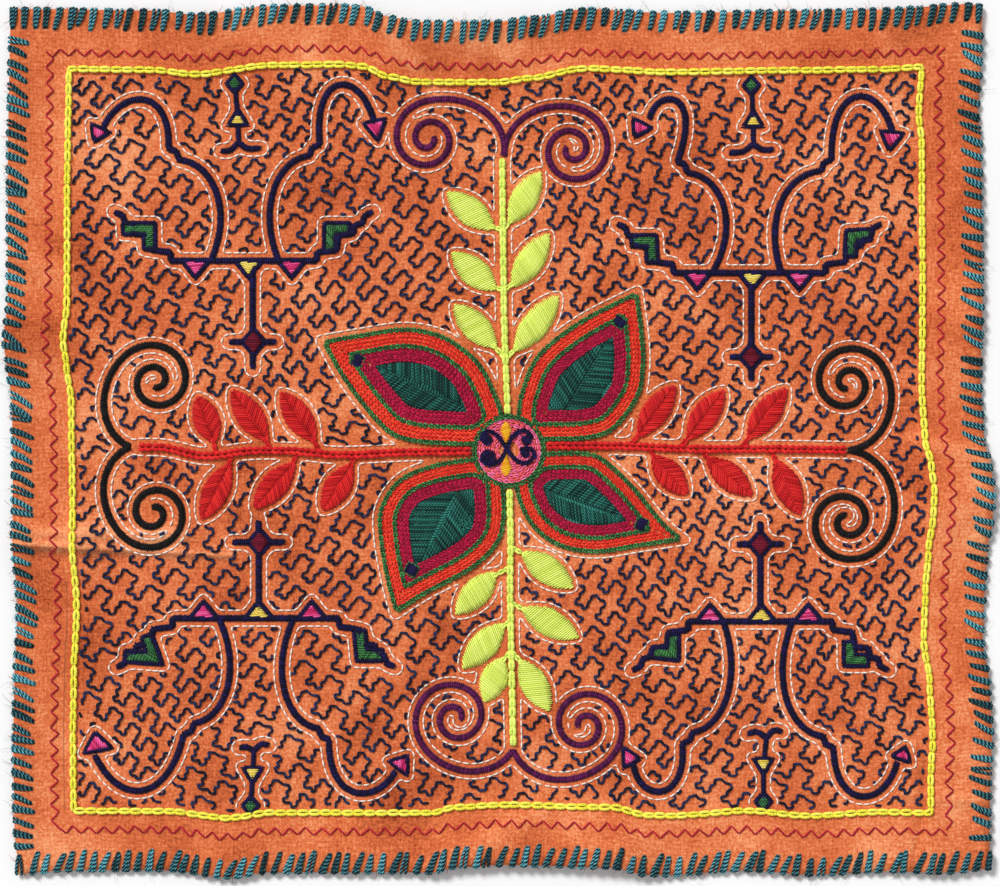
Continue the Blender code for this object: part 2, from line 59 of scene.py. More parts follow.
# How far each edge wanders from the straight cut: (place along the edge, distance outwards).
TOP_WANDER = (
    (-244, 0.2), (-174, -0.6), (-152, -2.9), (-114, 1.6), (-80, 2.1), (-68, 1.0), (-55, -4.3), (-41, -6.8),
    (0, -6.8), (14, -4.9), (43, 0.1), (85, -1.9), (145, -0.9), (193, -0.4), (236, 2.4), (244, 1.6),
)
BOTTOM_WANDER = (
    (-244, 0.4), (-217, -1.4), (-168, -1.4), (-135, 2.1), (-114, -0.4), (-34, -0.4), (-22, -3.2), (2, -4.4),
    (56, -3.3), (74, 0.8), (85, 1.1), (124, -1.4), (156, 1.1), (189, -0.9), (221, -0.4), (244, -2.4),
)
LEFT_WANDER = (
    (-216, -3.4), (-190, -1.4), (-148, -0.9), (-121, -1.4), (-84, -2.9), (-49, -0.9), (-22, -0.8), (20, -0.3),
    (37, 1.9), (50, 3.5), (70, 1.9), (120, 1.9), (216, 0.6),
)
RIGHT_WANDER = (
    (-216, 1.2), (-170, 1.7), (-150, 2.7), (-121, 1.2), (-99, -1.8), (-74, -0.9), (-55, 0.5), (-38, 2.7),
    (-25, 3.2), (-11, 1.6), (0, -1.4), (32, -2.9), (70, -2.3), (150, -2.8), (161, -4.3), (188, -2.8),
    (216, -2.2),
)
# Soft folds that stand off the floor: (from x, from y, to x, to y, half width, height).
FOLDS = (
    (-246, -52, -212, -53, 13, 3.2),
    (-60, 214, -44, 194, 13, 2.6),
    (-36, 214, 10, 214, 17, 3.6),
    (-26, -214, 62, -212, 19, 3.8),
    (36, -192, 56, -204, 13, 1.8),
    (216, -6, 246, -14, 13, 2.6),
    (216, -30, 246, -34, 13, 2.2),
    (214, -190, 218, -212, 14, 2),
    (184, 200, 196, 214, 15, 2.2),
    (-154, 214, -150, 196, 14, 1.8),
    (-246, 50, -226, 52, 16, 2.4),
    (-138, -216, -132, -200, 15, 2),
)
RIPPLE_WAVES = 16
RIPPLE_LENGTHS = (34.0, 110.0)
RIPPLE_BASE = 2.2
# How far inside the edge the border's larger ripples end, and over what distance they fade.
RIPPLE_BORDER_END = 48.0
RIPPLE_BORDER_FADE = 30.0
RIPPLE_MIDDLE = 0.09
RIPPLE_BORDER = 0.2
SHEET_STEP = 4.5
MAP_STEP = 1.0
MAP_ROUNDS = 8
MAP_HALF_WIDTH = 258
MAP_HALF_HEIGHT = 228


def eased(distance, start, end):
    """A share that goes from 0 at the start to 1 at the end, gently at both."""
    part = np.clip((distance - start) / (end - start), 0, 1)
    return part * part * (3 - 2 * part)


def eased_lookup(table, place):
    """Reads a two-column table at many places, with an eased change from row to row."""
    places, values = np.array(table, dtype=float).T
    row = np.clip(np.searchsorted(places, place) - 1, 0, len(places) - 2)
    return values[row] + (values[row + 1] - values[row]) * eased(place, places[row], places[row + 1])


def edge_share(distance):
    """How much of an edge's wander is felt at this distance inside it."""
    return 1 - eased(distance, EDGE_REACH_FULL, EDGE_REACH_END)


def lie(s, t):
    """Where the points (s, t) of the straight cut lie in plan."""
    x = s + eased_lookup(RIGHT_WANDER, t) * edge_share(HALF_WIDTH - s)
    x = x - eased_lookup(LEFT_WANDER, t) * edge_share(HALF_WIDTH + s)
    y = t + eased_lookup(TOP_WANDER, s) * edge_share(HALF_HEIGHT - t)
    y = y - eased_lookup(BOTTOM_WANDER, s) * edge_share(HALF_HEIGHT + t)
    return x, y


def ripples(s, t, inset):
    """Small waves that the sewing leaves in the cloth, larger in its loose border."""
    chance = np.random.default_rng(11)
    height = np.full_like(s, RIPPLE_BASE)
    for _ in range(RIPPLE_WAVES):
        length = chance.uniform(*RIPPLE_LENGTHS)
        angle = chance.uniform(0, 2 * math.pi)
        turn = (s * math.cos(angle) + t * math.sin(angle)) * 2 * math.pi / length
        height += np.sin(turn + chance.uniform(0, 2 * math.pi)) * length / RIPPLE_LENGTHS[1]
    border = np.clip((RIPPLE_BORDER_END - inset) / RIPPLE_BORDER_FADE, 0, 1)
    return np.maximum(height, 0) * (RIPPLE_MIDDLE + RIPPLE_BORDER * border)


def segment_distance(x, y, from_x, from_y, to_x, to_y):
    """Distance of many places from the straight line between two points."""
    run_x = to_x - from_x
    run_y = to_y - from_y
    along = ((x - from_x) * run_x + (y - from_y) * run_y) / max(run_x ** 2 + run_y ** 2, TINY)
    along = np.clip(along, 0, 1)
    return np.hypot(x - from_x - along * run_x, y - from_y - along * run_y)


def cut_inset(s, t):
    """Distance inside the cut edge at the points (s, t) of the cut."""
    return np.minimum(HALF_WIDTH - np.abs(s), HALF_HEIGHT - np.abs(t))


def underside(s, t):
    """Height of the cloth's underside above the floor at the points (s, t) of the cut."""
    x, y = lie(s, t)
    inset = cut_inset(s, t)
    height = np.interp(inset, *np.transpose(BORDER_LIFT))
    for *line, half_width, rise in FOLDS:
        height = height + rise * np.exp(-(segment_distance(x, y, *line) / half_width) ** 2)
    return height + ripples(s, t, inset)


def read_map(values, x, y):
    """Reads a map of the plan at any places, evenly between its points."""
    column = np.clip((np.asarray(x) + MAP_HALF_WIDTH) / MAP_STEP, 0, values.shape[1] - 1.001)
    row = np.clip((np.asarray(y) + MAP_HALF_HEIGHT) / MAP_STEP, 0, values.shape[0] - 1.001)
    left = column.astype(int)
    low = row.astype(int)
    across = column - left
    up = row - low
    near = values[low, left] * (1 - across) + values[low, left + 1] * across
    far = values[low + 1, left] * (1 - across) + values[low + 1, left + 1] * across
    return near * (1 - up) + far * up


def make_maps():
    """Maps of the cloth's face height and of the distance inside its cut edge, over the plan."""
    across = np.arange(-MAP_HALF_WIDTH, MAP_HALF_WIDTH + MAP_STEP, MAP_STEP)
    up = np.arange(-MAP_HALF_HEIGHT, MAP_HALF_HEIGHT + MAP_STEP, MAP_STEP)
    x, y = np.meshgrid(across, up)
    s = x.copy()
    t = y.copy()
    for _ in range(MAP_ROUNDS):
        lies_x, lies_y = lie(s, t)
        s += x - lies_x
        t += y - lies_y
    return underside(s, t) + THICKNESS, cut_inset(s, t)


FACE_MAP, INSET_MAP = make_maps()


def face_height(x, y):
    return read_map(FACE_MAP, x, y)


def add_object(name, data):
    made = bpy.data.objects.new(name, data)
    bpy.context.scene.collection.objects.link(made)
    return made


def build_piece(name, points, faces, material, replaced=(), places=None, shade=None):
    """One smooth mesh on the cloth's body: points in millimetres, faces as arrays of equal-sided faces."""
    mesh = bpy.data.meshes.new(name)
    corners = np.concatenate([group.ravel() for group in faces]).astype(np.int32)
    sizes = np.concatenate([np.full(len(group), group.shape[1]) for group in faces])
    starts = np.concatenate([[0], np.cumsum(sizes)[:-1]]).astype(np.int32)
    mesh.vertices.add(len(points))
    mesh.vertices.foreach_set("co", (np.asarray(points) * MM).astype(np.float32).ravel())
    mesh.loops.add(len(corners))
    mesh.loops.foreach_set("vertex_index", corners)
    mesh.polygons.add(len(starts))
    mesh.polygons.foreach_set("loop_start", starts)
    mesh.polygons.foreach_set("use_smooth", np.ones(len(starts), dtype=bool))
    if places is not None:
        mesh.uv_layers.new(name="thread").uv.foreach_set("vector", places.astype(np.float32).ravel())
    if shade is not None:
        mesh.attributes.new("shade", "FLOAT", "POINT").data.foreach_set("value", shade.astype(np.float32))
    mesh.update(calc_edges=True)
    mesh.validate()
    mesh.materials.append(material)
    piece = add_object(name, mesh)
    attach(piece, "root")
    if replaced:
        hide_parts(*replaced)
    return piece


def add_node(tree, kind, inputs=(), **settings):
    """A shader node with its settings; an input is a value, or the output that feeds it."""
    made = tree.nodes.new(kind)
    for name, value in settings.items():
        setattr(made, name, value)
    for name, value in dict(inputs).items():
        if isinstance(value, bpy.types.NodeSocket):
            tree.links.new(value, made.inputs[name])
        else:
            made.inputs[name].default_value = value
    return made


def maths(tree, operation, first, second=0.0, third=0.0):
    inputs = {0: first, 1: second, 2: third}
    return add_node(tree, "ShaderNodeMath", inputs, operation=operation).outputs[0]


def total(tree, start, *layers):
    """A start value with layers added to it, each times its share."""
    for layer, share in layers:
        start = maths(tree, "MULTIPLY_ADD", layer, share, start)
    return start


def dye(red, green, blue):
    """A colour as it looks on a screen, 0 to 255, turned into the shader's linear values."""
    shares = [value / 255 for value in (red, green, blue)]
    linear = [c / 12.92 if c <= 0.04045 else ((c + 0.055) / 1.055) ** 2.4 for c in shares]
    return (*linear, 1.0)


def colour_ramp(tree, amount, *stops):
    """A ramp through evenly spaced colours."""
    ramp = add_node(tree, "ShaderNodeValToRGB", {0: amount})
    elements = ramp.color_ramp.elements
    while len(elements) < len(stops):
        elements.new(0.5)
    for number, (element, colour) in enumerate(zip(elements, stops)):
        element.position = number / (len(stops) - 1)
        element.color = colour
    return ramp.outputs["Color"]


def noise(tree, place, scale, detail=2.0):
    return add_node(tree, "ShaderNodeTexNoise", {"Vector": place, "Scale": scale, "Detail": detail}).outputs


def new_material(name, roughness, specular=0.5, sheen=0.0):
    material = bpy.data.materials.new(name)
    material.use_nodes = True
    shader = material.node_tree.nodes["Principled BSDF"]
    shader.inputs["Roughness"].default_value = roughness
    shader.inputs["Specular IOR Level"].default_value = specular
    shader.inputs["Sheen Weight"].default_value = sheen
    return material, material.node_tree, shader


def new_group(name, inputs, outputs):
    """An empty node group. An input is a number to start with, or a place where its start is None."""
    group = bpy.data.node_groups.new(name, "ShaderNodeTree")
    for socket, start in inputs.items():
        kind = "NodeSocketVector" if start is None else "NodeSocketFloat"
        made = group.interface.new_socket(socket, in_out="INPUT", socket_type=kind)
        if start is not None:
            made.default_value = start
    for socket in outputs:
        group.interface.new_socket(socket, in_out="OUTPUT", socket_type="NodeSocketFloat")
    return group, group.nodes.new("NodeGroupInput").outputs, group.nodes.new("NodeGroupOutput").inputs


WEAVE_PITCH = 0.85
WEAVE_RELIEF = 0.00022
COTTON_TONE = -1.46
# A pencil line drawn as a guide beside the frame line: its place across, its middle and half its length.
PENCIL_PLACE = -218.4
PENCIL_MIDDLE = -128.0
PENCIL_HALF = 58.0
# Sharp creases where the cloth was once folded: (from x, from y, to x, to y, half width, height).
# Their heights also lighten the cloth's colour along raised creases and darken it along sunken ones: painted
# light and shade.
CREASES = (
    (-250, -51, -134, -57, 2.4, 2.2),
    (-250, -45, -160, -47, 5, 2.6),
    (-250, -57, -190, -60, 3, -0.9),
    (-58, 214, -30, 178, 5, 2),
    (-26, 216, 30, 186, 9, 1.8),
    (190, 216, 206, 160, 6, 1.2),
    (206, -216, 212, -160, 3, -1),
    (200, -176, 246, -182, 4, 1.3),
    (-30, -216, 20, -190, 8, 1.8),
    (212, 0, 246, -10, 6, 1.5),
    (-246, 96, -216, 84, 9, 1.6),
)


def make_crease_group():
    """Node group for a soft ridge along a straight line between two places on the cloth."""
    group, given, result = new_group(
        "crease line", {"Place": None, "From": None, "To": None, "Width": 4.0}, ["Height"])

    def vectors(operation, first, second):
        return add_node(group, "ShaderNodeVectorMath", {0: first, 1: second}, operation=operation).outputs

    run = vectors("SUBTRACT", given["To"], given["From"])["Vector"]
    offset = vectors("SUBTRACT", given["Place"], given["From"])["Vector"]
    share = maths(group, "DIVIDE", vectors("DOT_PRODUCT", offset, run)["Value"],
                  vectors("DOT_PRODUCT", run, run)["Value"])
    share = maths(group, "MINIMUM", maths(group, "MAXIMUM", share, 0.0), 1.0)
    nearest = add_node(group, "ShaderNodeVectorMath", {0: run, "Scale": share}, operation="SCALE").outputs
    away = maths(group, "DIVIDE", vectors("DISTANCE", offset, nearest["Vector"])["Value"], given["Width"])
    fall = maths(group, "MULTIPLY", maths(group, "MULTIPLY", away, away), -1.0)
    group.links.new(maths(group, "EXPONENT", fall), result["Height"])
    return group


CREASE_LINE = make_crease_group()


def cotton_material():
    """Plain weave in uneven threads, with blotchy dye, painted shade in the gaps between the threads, and
    painted light and shade along the creases.
    """
    material, tree, shader = new_material("orange cotton", roughness=0.92, specular=0.2, sheen=0.1)
    place = add_node(tree, "ShaderNodeUVMap", uv_map="thread").outputs["UV"]
    wobble = noise(tree, place, 0.35)["Color"]
    bent = add_node(tree, "ShaderNodeVectorMath", {0: wobble, 1: place}, operation="ADD").outputs[0]
    split = add_node(tree, "ShaderNodeSeparateXYZ", {0: bent}).outputs
    warp, weft = (
        maths(tree, "SINE", maths(tree, "MULTIPLY", split[axis], math.pi / WEAVE_PITCH)) for axis in "XY")
    # Where the threads dip, in the gaps between them, this pattern darkens the colour as painted shade; it also
    # shapes the bump.
    weave = maths(tree, "MULTIPLY_ADD", maths(tree, "MULTIPLY", warp, weft), 0.5, 0.5)

    def streaks(*stretch):
        stretched = add_node(tree, "ShaderNodeVectorMath", {0: place, 1: (*stretch, 1)}, operation="MULTIPLY")
        return noise(tree, stretched.outputs[0], 1.0)["Fac"]

    threads = maths(tree, "ADD", streaks(1.1, 0.12), streaks(0.12, 1.1))
    blotch = noise(tree, place, 0.045, 4.0)["Fac"]
    speckle = noise(tree, place, 0.7, 3.0)["Fac"]
    patch = noise(tree, place, 0.012)["Fac"]
    ridges = []
    for from_x, from_y, to_x, to_y, width, rise in CREASES:
        ends = {"Place": place, "From": (from_x, from_y, 0), "To": (to_x, to_y, 0), "Width": width}
        ridges.append((add_node(tree, "ShaderNodeGroup", ends, node_tree=CREASE_LINE).outputs["Height"], rise))
    # The crease heights also go into the colour: painted light on raised creases and painted shade in sunken
    # ones.
    creases = total(tree, 0.0, *ridges)
    tone = total(
        tree, COTTON_TONE, (threads, 0.5), (creases, 0.1), (blotch, 0.8), (speckle, 1.05), (patch, 0.9),
        (weave, 0.12))
    colour = colour_ramp(tree, tone, dye(146, 54, 22), dye(222, 112, 63), dye(255, 176, 124))

    guide = add_node(tree, "ShaderNodeSeparateXYZ", {0: place}).outputs
    off_line = maths(tree, "ABSOLUTE", maths(tree, "SUBTRACT", guide["X"], PENCIL_PLACE))
    along_line = maths(tree, "ABSOLUTE", maths(tree, "SUBTRACT", guide["Y"], PENCIL_MIDDLE))
    pencil = maths(tree, "MULTIPLY", maths(tree, "LESS_THAN", off_line, 0.3),
                   maths(tree, "LESS_THAN", along_line, PENCIL_HALF))
    pencil = maths(tree, "MULTIPLY", pencil, maths(tree, "MULTIPLY", speckle, 0.9))
    mixed = {0: pencil, 6: colour, 7: dye(84, 62, 58)}
    colour = add_node(tree, "ShaderNodeMix", mixed, data_type="RGBA").outputs[2]

    height = total(tree, 0.0, (threads, 0.5), (weave, 0.6), (speckle, 0.5))
    folds = add_node(tree, "ShaderNodeBump", {"Strength": 1.0, "Distance": MM, "Height": creases})
    bump = add_node(tree, "ShaderNodeBump", {
        "Strength": 0.6, "Distance": WEAVE_RELIEF, "Height": height, "Normal": folds.outputs["Normal"]})
    tree.links.new(colour, shader.inputs["Base Color"])
    tree.links.new(bump.outputs["Normal"], shader.inputs["Normal"])
    return material


def make_cloth():
    """The panel as one closed sheet of even thickness."""
    columns = round(CUT_WIDTH / SHEET_STEP) + 1
    rows = round(CUT_HEIGHT / SHEET_STEP) + 1
    s, t = np.meshgrid(
        np.linspace(-HALF_WIDTH, HALF_WIDTH, columns), np.linspace(-HALF_HEIGHT, HALF_HEIGHT, rows))
    x, y = lie(s, t)
    z = underside(s, t)
    under = np.stack([x, y, z], axis=-1).reshape(-1, 3)
    points = np.concatenate([under + (0, 0, THICKNESS), under])
    index = np.arange(rows * columns).reshape(rows, columns)
    low_left, low_right = index[:-1, :-1].ravel(), index[:-1, 1:].ravel()
    high_left, high_right = index[1:, :-1].ravel(), index[1:, 1:].ravel()
    top = np.stack([low_left, low_right, high_right, high_left], axis=1)
    bottom = np.stack([low_left, high_left, high_right, low_right], axis=1) + rows * columns
    rim = np.concatenate([index[0, :], index[1:, -1], index[-1, -2::-1], index[-2:0:-1, 0]])
    after = np.roll(rim, -1)
    side = np.stack([rim, rim + rows * columns, after + rows * columns, after], axis=1)
    faces = [top, bottom, side]
    place = np.tile(np.stack([s, t], axis=-1).reshape(-1, 2), (2, 1))
    corners = np.concatenate([group.ravel() for group in faces])
    return build_piece("cotton_panel", points, faces, cotton_material(), ["cloth"], place[corners])


cotton_panel = make_cloth()


# Overcast edging: thick teal wool, carried over and over the cut edge in slanting stitches of two or three
# strands that share one hole in the cloth, spread apart over the edge and go back underneath.
EDGING_HOLE = 9.4
EDGING_THREAD = 1.65
# How near a corner the stitches turn upright, and how far a stitch's strands spread where they share a hole.
EDGING_CORNER = 12.0
EDGING_GATHER = 0.42
# Columns: name, runs along x, side of the cloth, stitch spacing, slant at the inner end, margin at the ends.
EDGINGS = (
    ("edging_top", True, 1, 5.9, -2.0, -1.8),
    ("edging_bottom", True, -1, 5.9, 2.8, -1.8),
    ("edging_left", False, -1, 5.9, -4.0, 11.6),
    ("edging_right", False, 1, 6.7, 3.2, 11.6),
)
# The way of one strand: share of the depth inside the edge, height over the face, share of the thickness.
EDGING_WAY = (
    (1.04, -0.5, 0.6), (0.96, 0.3, 0.9), (0.78, 0.62, 1), (0.52, 0.7, 1), (0.26, 0.66, 1), (0.05, 0.5, 1),
    (-0.04, -0.2, 1), (-0.05, -1.2, 1), (0.05, -1.75, 0.95), (0.35, -1.6, 0.8), (0.62, -1.4, 0.45),
)


# The four sides of the cloth: whether each runs along x, and which side of the middle it is on.
SIDES = ((True, 1), (True, -1), (False, 1), (False, -1))


def side_sizes(runs_along_x):
    """Half the length of a side of the cut, and its distance from the middle."""
    return (HALF_WIDTH, HALF_HEIGHT) if runs_along_x else (HALF_HEIGHT, HALF_WIDTH)


def set_along(runs_along_x, along, across):
    """Places given along and across a side of the cloth, as x and y."""
    return (along, across) if runs_along_x else (across, along)


def unit(vectors):
    """Vectors of length one with the same directions."""
    return vectors / np.maximum(np.linalg.norm(vectors, axis=-1, keepdims=True), TINY)


def strand_skin(line, radius, shade, sides=4, flat=0.85, facing=(0, 0, 1)):
    """The skins of many strands: line is (strands, steps, 3) in millimetres and radius (strands, steps)."""
    count, steps, _ = line.shape
    along = unit(np.gradient(line, axis=1))
    side = unit(np.cross(along, np.broadcast_to(facing, along.shape)))
    up = np.cross(side, along)
    turn = 2 * math.pi * (np.arange(sides) + 0.5) / sides
    out = np.cos(turn)[:, None] * side[:, :, None] + flat * np.sin(turn)[:, None] * up[:, :, None]
    points = line[:, :, None] + out * radius[:, :, None, None]
    index = np.arange(count * steps * sides).reshape(count, steps, sides)
    beside = np.roll(index, -1, axis=2)
    quads = np.stack([index[:, :-1], index[:, 1:], beside[:, 1:], beside[:, :-1]], axis=-1).reshape(-1, 4)
    caps = np.concatenate([index[:, 0], index[:, -1, ::-1]])
    reach = np.cumsum(np.linalg.norm(np.diff(line, axis=1, prepend=line[:, :1]), axis=2), axis=1)
    places = np.stack(np.broadcast_arrays(reach[:, :, None], np.arange(sides) / sides), axis=-1)
    onwards = places + (0, 1 / sides)
    quad_places = np.stack([places[:, :-1], places[:, 1:], onwards[:, 1:], onwards[:, :-1]], axis=-2)
    cap_places = np.concatenate([places[:, 0], places[:, -1, ::-1]])
    return (points.reshape(-1, 3), quads, caps, quad_places.reshape(-1, 2), cap_places.reshape(-1, 2),
            np.repeat(shade, steps * sides))


def thread_piece(name, skins, material, replaced=()):
    """Joins the skins of many strands into one piece."""
    shift = 0
    points, faces, places, shades = [], [], [], []
    for skin_points, quads, caps, quad_places, cap_places, shade in skins:
        points.append(skin_points)
        faces += [quads + shift, caps + shift]
        places += [quad_places, cap_places]
        shades.append(shade)
        shift += len(skin_points)
    return build_piece(
        name, np.concatenate(points), faces, material, replaced, np.concatenate(places),
        np.concatenate(shades))


def make_twist_group():
    """Node group for every yarn: its twisted plies, with painted shade in the grooves between them and painted
    highlight on their crests, loose fibres, and a random tone for each stitch.
    """
    group, given, result = new_group(
        "yarn twist", {"Turn Length": 1.5, "Plies": 2.0, "Ply Depth And Shade": 0.5, "Fibre": 0.5, "Fading": 0.5},
        ["Tone", "Height"])
    place = add_node(group, "ShaderNodeUVMap", uv_map="thread").outputs["UV"]
    split = add_node(group, "ShaderNodeSeparateXYZ", {0: place})
    turns = maths(group, "DIVIDE", split.outputs["X"], given["Turn Length"])
    plies = maths(group, "MULTIPLY_ADD", split.outputs["Y"], given["Plies"], turns)
    twist = maths(group, "ABSOLUTE", maths(group, "SINE", maths(group, "MULTIPLY", plies, math.pi)))
    fluff = maths(group, "MULTIPLY", plies, 5.0)
    stretched = add_node(group, "ShaderNodeCombineXYZ", {0: turns, 1: fluff}).outputs[0]
    shade = add_node(group, "ShaderNodeAttribute", attribute_name="shade").outputs["Fac"]
    own = maths(group, "MULTIPLY", shade, 37.0)
    fibre = add_node(
        group, "ShaderNodeTexNoise", {"Vector": stretched, "W": own, "Scale": 1.7, "Detail": 2.0},
        noise_dimensions="4D").outputs["Fac"]
    # The ply pattern lowers the tone in the grooves between the plies and raises it on their crests: painted
    # shade and painted highlight. It also raises the bump.
    layers = [
        (maths(group, "SUBTRACT", layer, middle), given[share])
        for layer, middle, share in ((twist, 0.64, "Ply Depth And Shade"), (fibre, 0.5, "Fibre"), (shade, 0.5, "Fading"))]
    group.links.new(total(group, 0.5, *layers), result["Tone"])
    group.links.new(total(group, 0.0, (twist, given["Ply Depth And Shade"]), (fibre, 0.4)), result["Height"])
    return group


YARN_TWIST = make_twist_group()
YARN_ROUGHNESS = 0.78
YARN_SPECULAR = 0.25
YARN_RELIEF = 0.00025


def yarn_material(name, deep, main, light, turn_length=1.5, ply_depth_and_shade=0.5, fibre=0.6, fading=0.6, sheen=0.25):
    material, tree, shader = new_material(name, YARN_ROUGHNESS, YARN_SPECULAR, sheen)
    shader.inputs["Sheen Roughness"].default_value = 0.4
    twist = add_node(
        tree, "ShaderNodeGroup",
        {"Turn Length": turn_length, "Ply Depth And Shade": ply_depth_and_shade, "Fibre": fibre, "Fading": fading},
        node_tree=YARN_TWIST).outputs
    # The ramp's deep colour fills the plies' grooves as painted shade and its light colour their crests as
    # painted highlight, mixed with random fibres and a random tone for each stitch.
    colour = colour_ramp(tree, twist["Tone"], dye(*deep), dye(*main), dye(*light))
    tree.links.new(colour, shader.inputs["Base Color"])
    relief = {"Strength": 0.7, "Distance": YARN_RELIEF, "Height": twist["Height"]}
    bump = add_node(tree, "ShaderNodeBump", relief)
    tree.links.new(bump.outputs["Normal"], shader.inputs["Normal"])
    return material


TEAL_WOOL = yarn_material(
    "teal wool", (0, 14, 16), (4, 50, 56), (104, 190, 206), turn_length=1.9, ply_depth_and_shade=1.2, fibre=0.9,
    sheen=0.05)


def make_edging(name, runs_along_x, side, spacing, slant, end_margin, chance):
    half_run, half = side_sizes(runs_along_x)
    half_run = half_run - end_margin
    stitches = round(2 * half_run / spacing)
    place = -half_run + 2 * half_run * (np.arange(stitches) + 0.5) / stitches
    place = place + chance.uniform(-0.8, 0.8, stitches)
    depth = EDGING_HOLE * chance.uniform(0.84, 1.1, stitches)
    upright = np.clip((half_run - np.abs(place)) / EDGING_CORNER, 0, 1)
    lean = slant * chance.uniform(0.5, 1.6, stitches) * upright
    spread = chance.uniform(0.85, 1.4, stitches)
    tone = chance.beta(1.5, 3.0, stitches)
    share, height, thick = np.array(EDGING_WAY).T
    strands = []
    for strand in (-1, 0, 1):
        kept = chance.random(stitches) < (0.85 if strand == 0 else 1.0)
        inward = np.clip(share, -0.2, 1.0)
        gather = EDGING_GATHER + np.clip(1 - inward, 0, 1) ** 0.7 * (spread[:, None] - EDGING_GATHER)
        along = place[:, None] + strand * gather + lean[:, None] * np.clip(inward, 0, 1) ** 1.3
        along = along + chance.normal(0, 0.12, along.shape)
        inset = depth[:, None] * share[None, :] - (0.35 if strand == 0 else 0)
        inset = inset + chance.normal(0, 0.06, inset.shape)
        across = side * (half - np.maximum(inset, 0))
        cut_s, cut_t = set_along(runs_along_x, along, across)
        held = (np.clip(cut_s, -HALF_WIDTH, HALF_WIDTH), np.clip(cut_t, -HALF_HEIGHT, HALF_HEIGHT))
        x, y = lie(*held)
        past = np.maximum(-inset, 0) * side
        if runs_along_x:
            x, y = x + cut_s - held[0], y + past
        else:
            x = x + past
        radius = EDGING_THREAD / 2 * thick * chance.uniform(0.88, 1.08, (stitches, 1))
        z = underside(*held) + THICKNESS + height + (0.12 if strand == 0 else 0) * (height > 0)
        line = np.stack([x, y, np.maximum(z, radius + 0.02)], axis=-1)[kept]
        run = np.array((1.0, 0.0, 0.0) if runs_along_x else (0.0, 1.0, 0.0))
        facing = np.cross(np.broadcast_to(run, line.shape), np.gradient(line, axis=1))
        shade = tone[kept] + chance.normal(0, 0.08, kept.sum())
        strands.append(strand_skin(line, radius[kept], shade, sides=5, flat=1.0, facing=facing))
    return thread_piece(name + "_stitches", strands, TEAL_WOOL, [name])


def make_edgings():
    chance = np.random.default_rng(21)
    for row in EDGINGS:
        make_edging(*row, chance)


make_edgings()


# Frame line: a square of chain stitch in yellow wool, 29.5 mm inside the edge.
# Each link is a loop of yarn held by the next one, with a needle hole at its end.
FRAME_LINK = 5.6
FRAME_WIDTH = 3.3
FRAME_THREAD = 1.68
CHAIN_STEPS = 6
# A strand of four sides covers less than a round one, so it is made this much thicker.
CHAIN_FULLNESS = 1.2
LINK_OVERLAP = 1.12
# How far before and after a place on a line its direction is read.
LOOK_AHEAD = 0.35


def joined_up(path, closed=True):
    """A line of points; a closed one has its first point once more at its end."""
    line = np.asarray(path, dtype=float)
    return np.concatenate([line, line[:1]]) if closed else line


def left_of(direction):
    """The direction, or directions, a quarter turn to the left."""
    return np.stack([-direction[..., 1], direction[..., 0]], axis=-1)


def walk(path, distance, closed=False):
    """Points and sideways directions at distances along a line of points."""
    line = joined_up(path, closed)
    reach = np.concatenate([[0], np.cumsum(np.hypot(*np.diff(line, axis=0).T))])

    def at(place):
        place = place % reach[-1] if closed else place
        return np.stack([np.interp(place, reach, line[:, 0]), np.interp(place, reach, line[:, 1])], axis=-1)

    low = distance - LOOK_AHEAD if closed else np.clip(distance - LOOK_AHEAD, 0, reach[-1] - 2 * LOOK_AHEAD)
    return at(distance), left_of(unit(at(low + 2 * LOOK_AHEAD) - at(low)))


def path_length(path, closed=False):
    return np.hypot(*np.diff(joined_up(path, closed), axis=0).T).sum()


def laid(places, lift):
    """Points in plan set at a height over the cloth's face."""
    return np.concatenate([places, (face_height(places[..., 0], places[..., 1]) + lift)[..., None]], axis=-1)


def chain_line(path, link, width, thread, chance, closed=False, steps=CHAIN_STEPS, lift=0.3, hidden=None):
    """Chain stitch along a line: two legs for each link, which open from one hole and close at the next.

    Links inside the hidden circle, given as x, y and radius, are left out.
    """
    length = path_length(path, closed)
    links = max(round(length / link), 1)
    share = np.linspace(0, 1, steps)
    start = (np.arange(links) + chance.normal(0, 0.05, links)) * length / links
    distance = start[:, None] + share * length / links * LINK_OVERLAP
    skins = []
    for side in (-1, 1):
        point, across = walk(path, distance, closed)
        open_out = np.sin(math.pi * share) ** 0.6 * (width - thread) / 2 + 0.1 * thread
        offset = side * open_out * chance.uniform(0.85, 1.15, (links, 1))
        rise = lift + thread * (0.18 + 0.3 * np.sin(math.pi * share ** 0.7)) - 0.35 * (share > 0.95)
        fullness = CHAIN_FULLNESS * np.interp(share, (0, 0.2, 0.8, 1), (0.6, 1, 1, 0.7))
        radius = thread / 2 * fullness * np.ones((links, 1))
        line = laid(point + across * offset[..., None], rise)
        shade = chance.uniform(0.2, 0.8, links)
        kept = np.ones(links, dtype=bool)
        if hidden is not None:
            kept = np.hypot(*(point[:, steps // 2] - hidden[:2]).T) > hidden[2]
        skins.append(strand_skin(line[kept], radius[kept], shade[kept]))
    return skins


YELLOW_WOOL = yarn_material(
    "yellow wool", (176, 146, 14), (252, 242, 62), (255, 255, 150), ply_depth_and_shade=0.35, fading=0.4)


def make_frame_line():
    chance = np.random.default_rng(31)
    half_s = HALF_WIDTH - FRAME_INSET
    half_t = HALF_HEIGHT - FRAME_INSET
    corners = np.array([(-half_s, -half_t), (half_s, -half_t), (half_s, half_t), (-half_s, half_t)])
    distance = np.arange(0, path_length(corners, closed=True), 2.0)
    cut, _ = walk(corners, distance, closed=True)
    path = np.stack(lie(cut[:, 0], cut[:, 1]), axis=1)
    skins = chain_line(path, FRAME_LINK, FRAME_WIDTH, FRAME_THREAD, chance, closed=True)
    return thread_piece("frame_chain", skins, YELLOW_WOOL, ["frame_line"])


make_frame_line()


